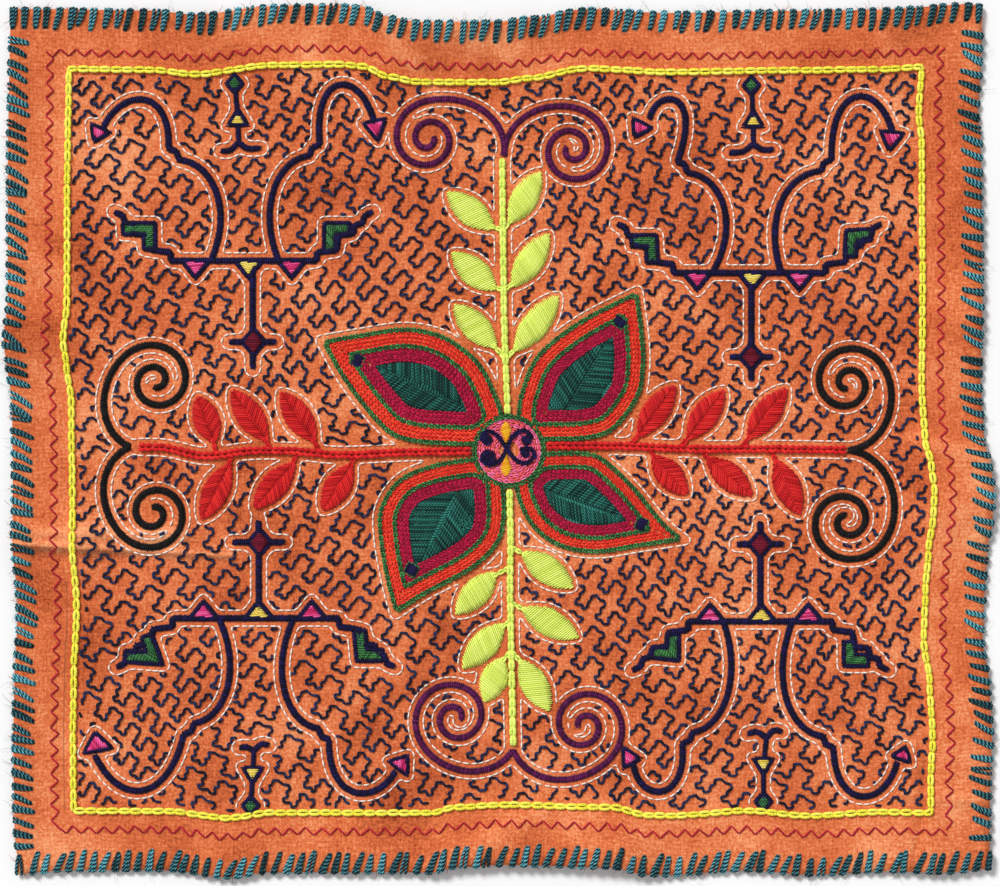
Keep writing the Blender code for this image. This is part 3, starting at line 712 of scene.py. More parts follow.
# Flower: four petals round an eye, each worked in rings of small chain stitches that follow its outline:
# a green rim, three rows of scarlet, a second green line, three rows of crimson, and a heart of long teal
# stitches. A dark square closes each inner green line at its point.
EYE_CENTRE = (5.0, -5.0)
EYE_RADIUS = 18.2
EYE_COVERS = (*EYE_CENTRE, 17.6)
PETALS = (
    ((2, 15.5), (-2, 26), (-7, 36), (-14.5, 44.5), (-28.5, 53.5), (-47, 57), (-69, 54),
     (-89.5, 50.5), (-77.5, 29.5), (-58.5, 6), (-44.5, -0.8), (-24, -2.6), (-11, -2.4), (-2.4, 2.4), (1.6, 9)),
    ((8.8, 15.5), (10.8, 25.5), (18.7, 43), (39.5, 60), (69.5, 75.5), (72.5, 52.5), (73, 36.5),
     (70, 21.5), (57.2, 5), (43, 0.4), (25, -0.2), (16, -0.4), (12.4, 2.4), (9.2, 8)),
    ((-14.9, -8.2), (-35.5, -12), (-51, -19.5), (-60, -34), (-60, -50), (-56.5, -70),
     (-52, -87), (-36.5, -77), (-13, -64.3), (0, -51.5), (3.5, -38.5), (3.2, -24.8), (2, -17),
     (-2.4, -12.4), (-8, -9)),
    ((25.2, -5.4), (44, -5.4), (53, -9), (67.4, -22.3), (82, -40), (93.5, -49.5), (70.5, -53),
     (48.5, -56.2), (29.5, -52.8), (15.5, -42), (8.4, -26.6), (8.6, -17.5), (12.4, -12.4), (18, -7.5)),
)
PETAL_TIPS = (7, 4, 6, 5)
PETAL_SQUARES = ((-70.7, 40.2), (60.4, 59.6), (-43.6, -64.2), (71.2, -41.5))
# How wide each petal's rows are worked.
PETAL_SCALES = (1.14, 1.02, 1.03, 0.92)
# Rows of stitches from the rim inwards: yarn, distance of the row's middle inside the outline.
PETAL_ROWS = (
    ("scarlet", 3.2), ("scarlet", 4.9), ("scarlet", 6.6), ("crimson", 10.1), ("crimson", 12.1),
    ("crimson", 14.1), ("green", 1.25), ("green", 8.4),
)
# Chains of each yarn: link, width, thread and lift.
PETAL_CHAINS = {
    "scarlet": (2.3, 2.3, 1.15, 0.3), "crimson": (2.3, 2.3, 1.15, 0.3), "green": (2.9, 2.6, 1.3, 0.55)}
PETAL_MAP_STEP = 0.5
PETAL_SQUARE_HALF = 3.0
HEART_INSET = 15.0
outlined_lines = []
outlined_areas = []


def cubic(start, near, far, end, part):
    """Points of a curve between two places that is drawn towards two others."""
    back = 1 - part
    return start * back ** 3 + 3 * near * back ** 2 * part + 3 * far * back * part ** 2 + end * part ** 3


def curve_through(knots, pieces, closed=True, corners=()):
    """A smooth line through a few knots; it turns sharply at the knots that are named corners."""
    points = np.asarray(knots, dtype=float)
    count = len(points)
    line = []
    part = np.linspace(0, 1, pieces, endpoint=False)[:, None]
    for here in range(count if closed else count - 1):
        near_by = here + np.array((-1, 0, 1, 2))
        before, start, end, after = points[near_by % count if closed else np.clip(near_by, 0, count - 1)]
        leave = (end - start) / 3 if here in corners else (end - before) / 6
        arrive = (end - start) / 3 if (here + 1) % count in corners else (after - start) / 6
        line.append(cubic(start, start + leave, end - arrive, end, part))
    if not closed:
        line.append(points[-1:])
    return np.concatenate(line)


def signed_depth(x, y, outline):
    """Distance of many places inside a closed outline, which is negative outside it."""
    line = joined_up(outline)
    nearest = np.full(x.shape, np.inf)
    inside = np.zeros(x.shape, dtype=bool)
    for (start_x, start_y), (end_x, end_y) in zip(line, line[1:]):
        nearest = np.minimum(nearest, segment_distance(x, y, start_x, start_y, end_x, end_y))
        if start_y != end_y:
            spans = (start_y > y) != (end_y > y)
            inside ^= spans & (x < (end_x - start_x) * (y - start_y) / (end_y - start_y) + start_x)
    return np.where(inside, nearest, -nearest)


def heading(angle):
    """The direction at an angle from x."""
    return np.array([math.cos(angle), math.sin(angle)])


def angle_of(direction):
    return math.atan2(direction[1], direction[0])


def ring(centre, radius, count=60):
    """Points round a circle."""
    turns = np.linspace(0, 2 * math.pi, count, endpoint=False)
    return np.array(centre) + radius * np.stack([np.cos(turns), np.sin(turns)], axis=1)


# Which sides of a square a level line crosses, for each case of its four corners above the level.
# The sides are 0 bottom, 1 right, 2 top and 3 left.
CROSSINGS = {
    1: ((3, 0),), 2: ((0, 1),), 3: ((3, 1),), 4: ((1, 2),), 5: ((3, 0), (1, 2)), 6: ((0, 2),), 7: ((3, 2),),
    8: ((2, 3),), 9: ((2, 0),), 10: ((0, 1), (2, 3)), 11: ((2, 1),), 12: ((1, 3),), 13: ((1, 0),), 14: ((0, 3),),
}


def level_lines(values, level, low_x, low_y, step):
    """The lines along which a map has one value, each as points and whether it is closed."""
    rows, columns = values.shape
    above = values > level
    case = above[:-1, :-1] + 2 * above[:-1, 1:] + 4 * above[1:, 1:] + 8 * above[1:, :-1]
    flat = rows * columns
    pairs = []
    for number, sides in CROSSINGS.items():
        row, column = np.nonzero(case == number)
        here = row * columns + column
        edges = (here, flat + here + 1, here + columns, flat + here)
        for first, second in sides:
            pairs.append(np.stack([edges[first], edges[second]], axis=1))
    pairs = np.concatenate(pairs)
    used = np.unique(pairs)
    base = used % flat
    row, column = base // columns, base % columns
    upright = used >= flat
    first = values[row, column]
    second = np.where(upright, values[np.minimum(row + 1, rows - 1), column],
                      values[row, np.minimum(column + 1, columns - 1)])
    share = (level - first) / (second - first)
    x = low_x + step * (column + np.where(upright, 0, share))
    y = low_y + step * (row + np.where(upright, share, 0))
    places = dict(zip(used.tolist(), zip(x.tolist(), y.tolist())))
    joined = {}
    for first, second in pairs.tolist():
        joined.setdefault(first, []).append(second)
        joined.setdefault(second, []).append(first)
    lines = []
    ends = [edge for edge, links in joined.items() if len(links) == 1]
    for start in ends + list(joined):
        if not joined.get(start):
            continue
        chain = [start]
        while joined[chain[-1]]:
            after = joined[chain[-1]].pop()
            joined[after].remove(chain[-1])
            chain.append(after)
        closed = chain[0] == chain[-1]
        points = np.array([places[edge] for edge in (chain[:-1] if closed else chain)])
        if len(points) > 3:
            lines.append((points, closed))
    return lines


def even_steps(path, step, closed=False):
    """The line again, with its points at even steps."""
    length = path_length(path, closed)
    count = max(round(length / step), 3)
    distance = np.arange(count) * length / count if closed else np.linspace(0, length, count + 1)
    return walk(path, distance, closed)[0]


def smoothed(path, step, rounds, closed):
    """The line at even steps, with its small corners rubbed off."""
    line = even_steps(path, step, closed)
    for _ in range(rounds):
        if closed:
            line = (np.roll(line, 1, axis=0) + 2 * line + np.roll(line, -1, axis=0)) / 4
        else:
            line[1:-1] = (line[:-2] + 2 * line[1:-1] + line[2:]) / 4
    return line


SHORTEST_STITCH = 0.5
# How far from its ends a long stitch rises, and how thick it is there beside its middle.
DOME_RUN = 2.5
END_FULLNESS = 0.62


def clip_rays(origin, direction, outline):
    """The stretch of each ray that is inside an outline, as its near and far distances."""
    start = np.asarray(outline, dtype=float)
    run = np.roll(start, -1, axis=0) - start
    cross = direction[:, None, 0] * run[None, :, 1] - direction[:, None, 1] * run[None, :, 0]
    cross = np.where(np.abs(cross) < TINY, TINY, cross)
    gap = start[None] - origin[:, None]
    reach = (gap[..., 0] * run[None, :, 1] - gap[..., 1] * run[None, :, 0]) / cross
    share = (gap[..., 0] * direction[:, None, 1] - gap[..., 1] * direction[:, None, 0]) / cross
    hits = np.sort(np.where((share >= 0) & (share < 1) & (reach > 0), reach, np.inf), axis=1)
    inside = np.isfinite(hits).sum(axis=1) % 2 == 1
    near = np.where(inside, 0, hits[:, 0])
    far = np.where(inside, hits[:, 0], hits[:, 1])
    return near, far, np.isfinite(far) & (far - near > SHORTEST_STITCH)


def fill_strands(origin, direction, outline, thread, chance, dome=0.5, lift=0.3, ragged=0.25, steps=5):
    """Long flat stitches along rays, cut at an outline and raised a little at their middle."""
    near, far, good = clip_rays(origin, direction, outline)
    near = near[good] - chance.uniform(0, ragged, good.sum())
    far = far[good] + chance.uniform(-ragged / 2, ragged, good.sum())
    share = np.linspace(0, 1, steps)
    distance = near[:, None] + (far - near)[:, None] * share
    places = origin[good][:, None] + direction[good][:, None] * distance[..., None]
    bow = np.minimum(np.minimum(distance - near[:, None], far[:, None] - distance), DOME_RUN) / DOME_RUN
    rise = lift + dome * np.sqrt(np.clip(bow, 0, 1)) + chance.normal(0, 0.04, (good.sum(), 1))
    radius = thread / 2 * np.where((share == 0) | (share == 1), END_FULLNESS, 1) * np.ones((good.sum(), 1))
    return strand_skin(laid(places, rise), radius, chance.uniform(0.15, 0.85, good.sum()))


FISHBONE_START = 14.0


def fishbone(outline, base, tip, lean, thread, chance, pitch=0.85, spread=1.0, **options):
    """Two banks of stitches that slant from a middle line to the outline, towards its tip."""
    base, tip = np.array(base, dtype=float), np.array(tip, dtype=float)
    along = unit(tip - base)
    distance = np.arange(-FISHBONE_START * spread, np.hypot(*(tip - base)), pitch / math.sin(lean))
    skins = []
    for side in (-1, 1):
        direction = heading(angle_of(along) + side * lean)
        origin = base + along * (distance + chance.normal(0, 0.08, len(distance)))[:, None]
        rays = unit(direction + left_of(direction) * chance.normal(0, 0.014, len(distance))[:, None])
        skins.append(fill_strands(origin, rays, outline, thread, chance, **options))
    return skins


def satin_fill(outline, angle, thread, chance, pitch=0.85, **options):
    """Side-by-side stitches across a small shape."""
    direction = heading(angle)
    across = left_of(direction)
    level = outline @ across
    rows = np.arange(level.min() + pitch / 2, level.max(), pitch)
    start = (outline @ direction).min() - 1.0
    origin = rows[:, None] * across + start * direction
    return [fill_strands(origin, np.tile(direction, (len(rows), 1)), outline, thread, chance, **options)]


GREEN_WOOL = yarn_material("green wool", (2, 26, 14), (22, 84, 40), (90, 170, 90), ply_depth_and_shade=0.8)
SCARLET_WOOL = yarn_material("scarlet wool", (150, 8, 6), (240, 44, 26), (255, 104, 62), turn_length=1.2)
CRIMSON_WOOL = yarn_material(
    "crimson wool", (80, 0, 24), (172, 2, 54), (222, 30, 84), turn_length=1.2, sheen=0.1)
HEART_WOOL = yarn_material(
    "dark teal wool", (0, 10, 8), (0, 52, 46), (50, 140, 124), ply_depth_and_shade=0.8, fading=0.8, sheen=0.05)
NAVY_WOOL = yarn_material("navy wool", (1, 0, 16), (9, 2, 48), (40, 28, 104), ply_depth_and_shade=0.4, sheen=0.05)


def make_flower():
    chance = np.random.default_rng(41)
    outlined_areas.append(ring(EYE_CENTRE, EYE_RADIUS, 72))
    skins = {"scarlet": [], "crimson": [], "green": [], "heart": [], "navy": []}
    for knots, tip, square, scale in zip(PETALS, PETAL_TIPS, PETAL_SQUARES, PETAL_SCALES):
        outline = curve_through(knots, 7, corners=(tip,))
        outlined_areas.append(outline)
        low = outline.min(axis=0) - 2
        high = outline.max(axis=0) + 2
        x, y = np.meshgrid(*(np.arange(*ends, PETAL_MAP_STEP) for ends in zip(low, high)))
        depth = signed_depth(x, y, outline)

        def longest_line(inset):
            found_lines = level_lines(depth, inset * scale, low[0], low[1], PETAL_MAP_STEP)
            return max(found_lines, key=lambda found: len(found[0]))

        for yarn, inset in PETAL_ROWS:
            line, closed = longest_line(inset)
            line = smoothed(line, 1.0, 2, closed)
            link, width, thread, lift = PETAL_CHAINS[yarn]
            if yarn != "green":
                width, thread = width * scale, thread * scale
            skins[yarn] += chain_line(
                line, link, width, thread, chance, closed=True, steps=4, lift=lift, hidden=EYE_COVERS)
        heart, _ = longest_line(HEART_INSET)
        middle = heart.mean(axis=0)
        axis = unit(np.array(knots[tip]) - middle)
        angle = angle_of(axis)
        reach = (heart - middle) @ axis
        skins["heart"] += satin_fill(heart, angle, 2.2, chance, pitch=1.5, lift=0.1, dome=0.2, steps=4)
        skins["heart"] += fishbone(
            heart, middle + axis * reach.min(), middle + axis * reach.max(), math.radians(64), 1.0, chance,
            pitch=0.8, dome=0.45, lift=0.45, steps=6)
        ahead, left = axis * PETAL_SQUARE_HALF, left_of(axis) * PETAL_SQUARE_HALF
        block = np.array(square) + (ahead + left, ahead - left, -ahead - left, left - ahead)
        skins["navy"] += satin_fill(block, angle, 1.2, chance, lift=0.9)
        skins["green"] += chain_line(block, 2.2, 1.0, 0.6, chance, closed=True, steps=3, lift=1.0)
    petals = [f"petal_{number}" for number in range(1, 5)]
    for yarn, name, wool, slot, replaced in (
            ("scarlet", "scarlet_rows", SCARLET_WOOL, "scarlet_yarn", petals),
            ("crimson", "crimson_rows", CRIMSON_WOOL, "crimson_yarn", ()),
            ("green", "green_lines", GREEN_WOOL, "green_yarn", ()),
            ("heart", "hearts", HEART_WOOL, "teal_yarn", ()),
            ("navy", "squares", NAVY_WOOL, "navy_yarn", ())):
        thread_piece("petal_" + name, skins[yarn], wool, replaced)


make_flower()


# Eye of the flower: rows of pink chain stitch in a green ring, four navy curls that cross at its middle
# and two amber drops between them.
EYE_CURLS = (
    ((3.9, -3.9), (7.1, 2.4), (12.2, 5.4), (16, 2.4), (14.6, -0.6)),
    ((3.9, -3.9), (-1.6, 3.4), (-6.6, 4.6), (-8.9, 1.4), (-6, -0.4)),
    ((3.9, -3.9), (8.2, -9.3), (13.6, -11.2), (17.8, -7), (14.8, -3.4), (11.2, -4.4), (12.6, -7)),
    ((3.9, -3.9), (0.2, -9.9), (-4.6, -12), (-8.8, -8.6), (-5.6, -5.2)),
)
# The filled end of each curl: middle x and y, radius.
CURL_ENDS = ((13.6, 0.4, 2.5), (-5.9, 0.6, 2.9), (13.4, -6.4, 2), (-5.4, -8, 4))
EYE_DROPS = (
    ((3.5, -1.5), (6.2, 5.5), (3.5, 9.5), (0.8, 5.5)),
    ((3.5, -6.4), (6.2, -13.4), (3.5, -17.4), (0.8, -13.4)),
)
PINK_RINGS = (15.2, 12.9, 10.6, 8.3, 6.0)
EYE_RIM = 17.2
PINK_WOOL = yarn_material("pink wool", (150, 10, 60), (236, 46, 122), (255, 120, 190), fading=1.0)
PALE_PINK_WOOL = yarn_material(
    "pale pink wool", (240, 92, 52), (255, 96, 140), (255, 140, 206), ply_depth_and_shade=0.4, fading=1.1)
AMBER_WOOL = yarn_material("amber wool", (214, 96, 4), (255, 184, 14), (255, 226, 70), ply_depth_and_shade=0.4)


SATIN_SLANT = 0.22
SATIN_THREAD = 1.15


def satin_line(path, width, thread, chance, pitch=1.05, lift=0.25, dome=0.75, closed=False):
    """Stitches side by side across a line, raised at its middle and rounded off at its ends."""
    length = path_length(path, closed)
    count = round(length / pitch)
    distance = (np.arange(count) + 0.5) * length / count
    point, across = walk(path, distance, closed)
    end = np.minimum(distance, length - distance) if not closed else np.full(count, width)
    half = width / 2 * np.sqrt(np.clip(1 - (1 - np.clip(end / (width / 2), 0, 1)) ** 2, 0.1, 1))
    share = np.array([-1.0, -0.62, 0.0, 0.62, 1.0])
    reach = half[:, None] * share * chance.uniform(0.92, 1.06, (count, 1))
    reach = reach + chance.normal(0, 0.06, (count, 1))
    slant = (SATIN_SLANT * share * width / 2)[:, None]
    places = point[:, None] + across[:, None] * reach[..., None] - left_of(across)[:, None] * slant
    rise = lift + dome * np.sqrt(1 - share ** 2 * 0.98) - 0.2 * (np.abs(share) == 1)
    radius = thread / 2 * np.array([0.7, 1, 1.05, 1, 0.7]) * np.ones((count, 1))
    # A flat bed of the same yarn lies under the stitches; its fixed tone of 0.3 makes it darker than the
    # stitches, as painted shade where it shows between them.
    bed, _ = walk(path, np.arange(0, length + (0.7 if closed else 0), 0.7)[None], closed)
    bed_radius = np.full(bed.shape[:2], width * 0.44)
    return [strand_skin(laid(places, rise), radius, chance.uniform(0.15, 0.85, count)),
            strand_skin(laid(bed, lift * 0.6), bed_radius, np.full(1, 0.3), sides=6, flat=dome * 0.9 / width)]


def make_eye():
    chance = np.random.default_rng(43)
    rows = []
    for radius in PINK_RINGS:
        rows += chain_line(ring(EYE_CENTRE, radius), 3.0, 2.1, 0.95, chance, closed=True, steps=4)
    thread_piece("eye_pink_rows", rows, PALE_PINK_WOOL, ["eye"])
    rim = chain_line(ring(EYE_CENTRE, EYE_RIM), 2.7, 2.6, 1.25, chance, closed=True, steps=5, lift=0.5)
    thread_piece("eye_green_ring", rim, GREEN_WOOL)
    curls = []
    for knots in EYE_CURLS:
        curls += chain_line(curve_through(knots, 8, closed=False), 2.4, 2.5, 1.3, chance, steps=4, lift=0.9)
    for x, y, radius in CURL_ENDS:
        curls += satin_fill(ring((x, y), radius), x, 1.1, chance, lift=0.95)
    thread_piece("eye_curls", curls, NAVY_WOOL)
    drops = []
    for knots in EYE_DROPS:
        drops += satin_fill(curve_through(knots, 6, corners=(0,)), 0.25, 1.1, chance, lift=0.85)
    thread_piece("eye_drops", drops, AMBER_WOOL)


make_eye()


# Sprigs: a stem of chain stitch with six leaves on short stalks, worked in fishbone stitch.
# The upright sprigs are lime and the level ones red.
SPRIGS = {
    "top": ("lime", 2.2, ((1.5, 141), (2, 100), (2.6, 60), (4.2, 14)), (
        (0, 103.5, -26, 124), (1, 73, -23.5, 94), (1, 44, -22.5, 68),
        (3.5, 105.5, 20.5, 134.5), (4.5, 74, 25, 103.5), (5.5, 42, 29.5, 72.5))),
    "bottom": ("lime", 2.2, ((5.2, -24), (5.8, -50), (5.5, -72.5), (6.2, -110), (7, -152)), (
        (1, -63, -21.5, -86.5), (5, -88.5, -18, -113.5), (3.4, -104.5, -6.9, -130.3),
        (8.5, -53.5, 37, -73), (8.5, -82, 39.5, -98), (9, -106, 25, -134.5))),
    "left": ("red", 2.8, ((-179.5, -3), (-166, -3.5), (-146.5, -7.5), (-125, -5), (-103, -5),
                          (-79.5, -7), (-45, -5.6), (-14.5, -5)), (
        (-140.5, -4.5, -150.5, 22.5), (-113.5, -3, -133.5, 25.5), (-89.5, -3.5, -109, 24.5),
        (-132.5, -8, -148.5, -39.5), (-99.5, -8, -122.5, -34), (-71.5, -8.5, -88, -35))),
    "right": ("red", 2.8, ((24, -2.3), (60, -2.5), (100, -4), (140, -4), (173, -4.5)), (
        (67, -1, 88, 28), (92, -2, 112.5, 25.5), (122, -2, 143.5, 26.5),
        (74, -4.5, 94, -27), (101, -6, 126.5, -27.5), (136.5, -6, 150.5, -37))),
}
# Chains of the stems: link, width beyond the stem's own, and thread.
STEM_CHAINS = {"lime": (4.8, 1.1, 1.95), "red": (3.2, 1.4, 2.0)}
LEAF_BED_SHARE = 0.93
LEAF_WIDTH = 13.6
LEAF_STANDOFF = 4.4
LEAF_PROFILE = ((0, 0.14), (0.1, 0.48), (0.28, 0.86), (0.46, 1), (0.66, 0.9), (0.84, 0.58), (0.95, 0.25),
                (1, 0))
LIME_WOOL = yarn_material(
    "lime wool", (150, 166, 36), (232, 250, 106), (250, 255, 158), ply_depth_and_shade=0.3, fading=0.4)
RED_WOOL = yarn_material("red wool", (116, 0, 4), (216, 16, 24), (250, 62, 50), ply_depth_and_shade=0.4)


def make_sprigs():
    chance = np.random.default_rng(51)
    wools = {"lime": LIME_WOOL, "red": RED_WOOL}
    for side, (colour, width, stem, leaves) in SPRIGS.items():
        stem_line = curve_through(stem, 8, closed=False)
        outlined_lines.append((stem_line, 2))
        link, spare, thread = STEM_CHAINS[colour]
        skins = chain_line(stem_line, link, width + spare, thread, chance)
        for base_x, base_y, tip_x, tip_y in leaves:
            base, tip = np.array((base_x, base_y)), np.array((tip_x, tip_y))
            along = unit(tip - base)
            angle = angle_of(along)
            start = base + along * LEAF_STANDOFF
            part, share = np.array(LEAF_PROFILE).T
            middle = start + (tip - start) * part[:, None]
            half = left_of(along) * (LEAF_WIDTH / 2 * share)[:, None]
            outline = curve_through(np.concatenate([middle + half, (middle - half)[::-1]]), 3)
            outlined_areas.append(outline)
            stalk = np.array([stem_line[np.argmin(np.hypot(*(stem_line - base).T))], start + along * 2.0])
            outlined_lines.append((stalk, 1))
            skins += chain_line(stalk, 3.2, 2.6, 1.35, chance, steps=5)
            bed = start + (outline - start) * LEAF_BED_SHARE
            skins += satin_fill(bed, angle, 1.9, chance, pitch=1.4, lift=0.1, dome=0.25, steps=3)
            if colour == "lime":
                slant = angle + math.radians(chance.uniform(62, 74))
                skins += satin_fill(outline, slant, 1.25, chance, pitch=1, dome=0.5, lift=0.5, ragged=0.6)
            else:
                skins += fishbone(outline, start - along, tip, math.radians(52), 1.15, chance, pitch=0.92,
                                  spread=0.7, dome=0.6, lift=0.5, ragged=0.5)
        names = [f"stem_{side}"] + [f"leaf_{side}_{number}" for number in range(1, 7)]
        thread_piece(f"sprig_{side}", skins, wools[colour], names)


make_sprigs()


# Scrolls: pairs of spirals from one joint, worked in close satin stitch, purple at the top and bottom
# and black at the sides. A spiral is (centre x, centre y, turning way, radius, turns).
SCROLLS = {
    "top": ("purple", 3, (2.5, 142.5), ((-35.5, 151, 1, 21.5, 2.1), (36.5, 145.5, -1, 24, 2.1))),
    "bottom": ("purple", 3, (7, -154.5), ((-22, -138, -1, 25.5, 2), (42.5, -142, 1, 25, 2))),
    "left": ("black", 3.3, (-184.5, -3), ((-171.5, 30, -1, 23.5, 2), (-172.5, -36, 1, 22.5, 2))),
    "right": ("black", 3.3, (174.5, -4.5), ((174, 29, 1, 23.5, 2), (173.5, -40, -1, 26, 2))),
}
SCROLL_EYE = 3.0
SCROLL_TIGHTENING = 1.3
SWEEP_IN = 1.0
PURPLE_WOOL = yarn_material(
    "purple wool", (22, 0, 18), (80, 4, 66), (136, 40, 112), ply_depth_and_shade=0.4, sheen=0.1)
BLACK_WOOL = yarn_material("black wool", (2, 1, 1), (10, 7, 9), (44, 38, 42), ply_depth_and_shade=0.4, sheen=0.05)


def spiral(joint, centre, way, radius, turns):
    """Points from the joint over the outside of a scroll and inwards to its eye."""
    start = np.array(joint) - centre
    part = np.linspace(0, 1, 120)
    turned = 2 * math.pi * turns * part
    reach = SCROLL_EYE + (radius - SCROLL_EYE) * (1 - part) ** SCROLL_TIGHTENING
    reach += (np.hypot(*start) - radius) * np.exp(-(turned / SWEEP_IN) ** 2)
    angle = angle_of(start) + way * turned
    return centre + np.stack([np.cos(angle), np.sin(angle)], axis=1) * reach[:, None]


def make_scrolls():
    chance = np.random.default_rng(61)
    wools = {"purple": PURPLE_WOOL, "black": BLACK_WOOL}
    for side, (colour, width, joint, spirals) in SCROLLS.items():
        halves = [spiral(joint, np.array(row[:2]), *row[2:]) for row in spirals]
        path = np.concatenate([halves[0][::-1], halves[1][1:]])
        outlined_lines.append((even_steps(path, 2.0), width / 2))
        skins = satin_line(path, width + 0.2, SATIN_THREAD, chance)
        thread_piece(f"scroll_{side}_satin", skins, wools[colour], [f"scroll_{side}"])


make_scrolls()


# Hooked figures: a bar with a stepped hook at each end, two bowed arms and a crossed stem, in navy satin
# stitch, with small fills of pink, yellow, green and dark red that are edged in navy.
# Columns: bar middle x, bar y, half bar, which way the arms point, stem x off the bar's middle,
# stem length, distance of its cross from the bar, half cross.
FIGURES = (
    (-127.5, 90, 36.5, 1, 4.5, 54, 40.5, 11.8),
    (125, 84, 38, 1, 1, 54, 42, 10.8),
    (-121.5, -88.5, 41.5, -1, 1.5, 49, 38, 13.2),
    (130.5, -90, 36, -1, 0, 50, 38.5, 11.8),
)
# Arms, two for each figure: (side, start, waist, step x, step y, bow top x, bow top y, end x, end y).
ARMS = (
    ((-1, 16.5, 12, 32.5, 50.5, 52, 80.5, 70.5, 66), (1, 17.5, 13.5, 33, 52.5, 50, 88, 65.5, 68)),
    ((-1, 18.5, 11, 31, 50, 38, 86, 50, 76.5), (1, 16, 14, 36, 51, 56, 88, 71.5, 70)),
    ((-1, 18.5, 13, 31, 52.5, 60, 86, 80.5, 68), (1, 19, 13, 31.5, 55, 52, 87, 70, 76)),
    ((-1, 18.5, 15.5, 34, 55.5, 52, 85, 63.5, 71), (1, 16, 11.5, 31.5, 57.5, 53, 87.5, 68.5, 70)),
)
HOOK_STEPS = ((0.0, 0.17), (0.37, 0.22), (0.4, 0.51), (0.67, 0.54), (0.7, 0.72), (0.84, 0.74), (0.88, 0.9),
              (1.04, 0.98))
HOOK_REACH = 27.0
HOOK_RISE = 25.0
FIGURE_WIDTH = 3.3
ARM_STEP_OUT = 5.0
ARM_STEP_UP = 4.0


def bend(*points):
    """A curve between two places that is drawn towards two others, without its first point."""
    return cubic(*(np.array(point) for point in points), np.linspace(0, 1, 24)[1:, None])


def arm_path(start, waist, step_x, step_y, top_x, top_y, end_x, end_y):
    """A bowed arm: out of the bar, in at the waist, out to a small step, then over and down."""
    rise = (step_x + ARM_STEP_OUT, step_y + ARM_STEP_UP + 1.5)
    over = top_y + (top_y - (rise[1] + end_y) / 2) / 3
    return np.concatenate([
        [(start, 0.0)],
        bend((start, 0), (waist - 7, 0.5 * step_y), (waist + 3, 0.97 * step_y), (step_x, step_y)),
        [(step_x + 1.0, step_y + ARM_STEP_UP), rise],
        bend(rise, (top_x - 16, over), (top_x + 9, over), (end_x, end_y)),
    ])


def make_figures():
    chance = np.random.default_rng(71)
    for number, (figure, arms) in enumerate(zip(FIGURES, ARMS), start=1):
        middle_x, bar_y, half_bar, up, stem_x, stem_end, cross_y, cross = figure

        def placed(points, side=1):
            return np.array((middle_x, bar_y)) + np.asarray(points, dtype=float) * (side, up)

        hook = [(half_bar + x * HOOK_REACH, y * HOOK_RISE) for x, y in HOOK_STEPS]
        lines = [np.concatenate([
            placed(hook, -1)[::-1], placed([(half_bar, 0)], -1), placed([(half_bar, 0)]), placed(hook)])]
        lines += [placed(arm_path(*shape), side) for side, *shape in arms]
        lines.append(placed([(stem_x, 0), (stem_x, -stem_end)]))
        lines.append(placed([(stem_x - cross, -cross_y), (stem_x + cross, -cross_y)]))
        skins = []
        for line in lines:
            outlined_lines.append((even_steps(line, 2.0), FIGURE_WIDTH / 2))
            skins += satin_line(line, FIGURE_WIDTH, SATIN_THREAD, chance)
        thread_piece(f"figure_{number}_satin", skins, NAVY_WOOL, [f"figure_{number}"])


make_figures()


# Small fills: triangles on the bars, diamonds on the stems, green corners in the hooks, arrowheads at the
# arms' ends and four short staffs. Each is satin stitch with a navy border sewn round it.
BAR_TRIANGLES = ((-24, 2.5, 24), (-26, 1.5, 25), (-26, 1.5, 28), (-25, 0.5, 24))
TRIANGLE = ((-8.8, 1), (8.8, 1), (0, -10.3))
DIAMONDS = ((-122.5, 49.5), (126, 42), (-119.5, -50.5), (130.5, -51.5))
DIAMOND = ((-7.2, 0), (0, 8.2), (7.2, 0), (0, -8.2))
GREEN_CORNERS = (
    ((-186.5, 106), (-174.5, 106), (-174.5, 97)), ((-76, 106), (-84.5, 106), (-84.5, 96)),
    ((67.5, 100), (76, 100), (76.5, 90.5)), ((184.5, 103), (176, 102.5), (175.5, 93.5)),
    ((-175.5, -98.5), (-172, -108.5), (-185.5, -107.5)), ((-69.5, -96), (-68.5, -107), (-59.5, -107)),
    ((87, -98), (87, -106.5), (78, -105.5)), ((175, -101.5), (175, -109.5), (183, -109.5)),
)
CORNER_HALF_WIDTH = 1.5
CORNER_BORDER = 2.4
# Arrowheads: middle of the base x and y, half base, length, and which way they point in degrees.
ARROWHEADS = (
    (-198.9, 156.3, 5.8, 7.9, -115.6), (-62.25, 160, 6.5, 10.7, -79), (71.6, 158.9, 6, 8.6, -117.6),
    (196.2, 154.3, 6.5, 9.7, -97), (-200.2, -154.6, 7.8, 9.5, 99.7), (-50.5, -163.5, 6.4, 8.2, 52.4),
    (66.5, -161.1, 5.3, 9.8, 118.9), (200.8, -159, 5.5, 6.9, 70.5),
)
# Staffs: which way they stand, diamond, triangle, fork, and the middle and end of each foot.
STAFFS = (
    (1, (-132, 178.5), (-130.4, 161.2), (-130.1, 149.5), ((-134, 145.2), (-139, 145)),
     ((-126, 146.2), (-118.8, 146.2))),
    (1, (126, 177.5), (127, 160.5), (127, 148.5), ((122, 144.6), (114.8, 144)),
     ((131.5, 145.6), (137.2, 145.5))),
    (-1, (-124, -182), (-123, -166.5), (-122.5, -155), ((-126, -152.8), (-129.8, -153.2)),
     ((-119, -151.4), (-114.8, -152))),
    (-1, (132, -180), (132, -162), (133.5, -148.5), ((129, -145.2), (123.8, -146.2)),
     ((137, -144.4), (141.4, -145.2))),
)
BORDER_WIDTH = 2.6
PALE_YELLOW_WOOL = yarn_material("pale yellow wool", (190, 130, 20), (250, 222, 84), (255, 240, 150))
GARNET_WOOL = yarn_material("garnet wool", (56, 0, 10), (110, 2, 32), (146, 26, 60), sheen=0.1)


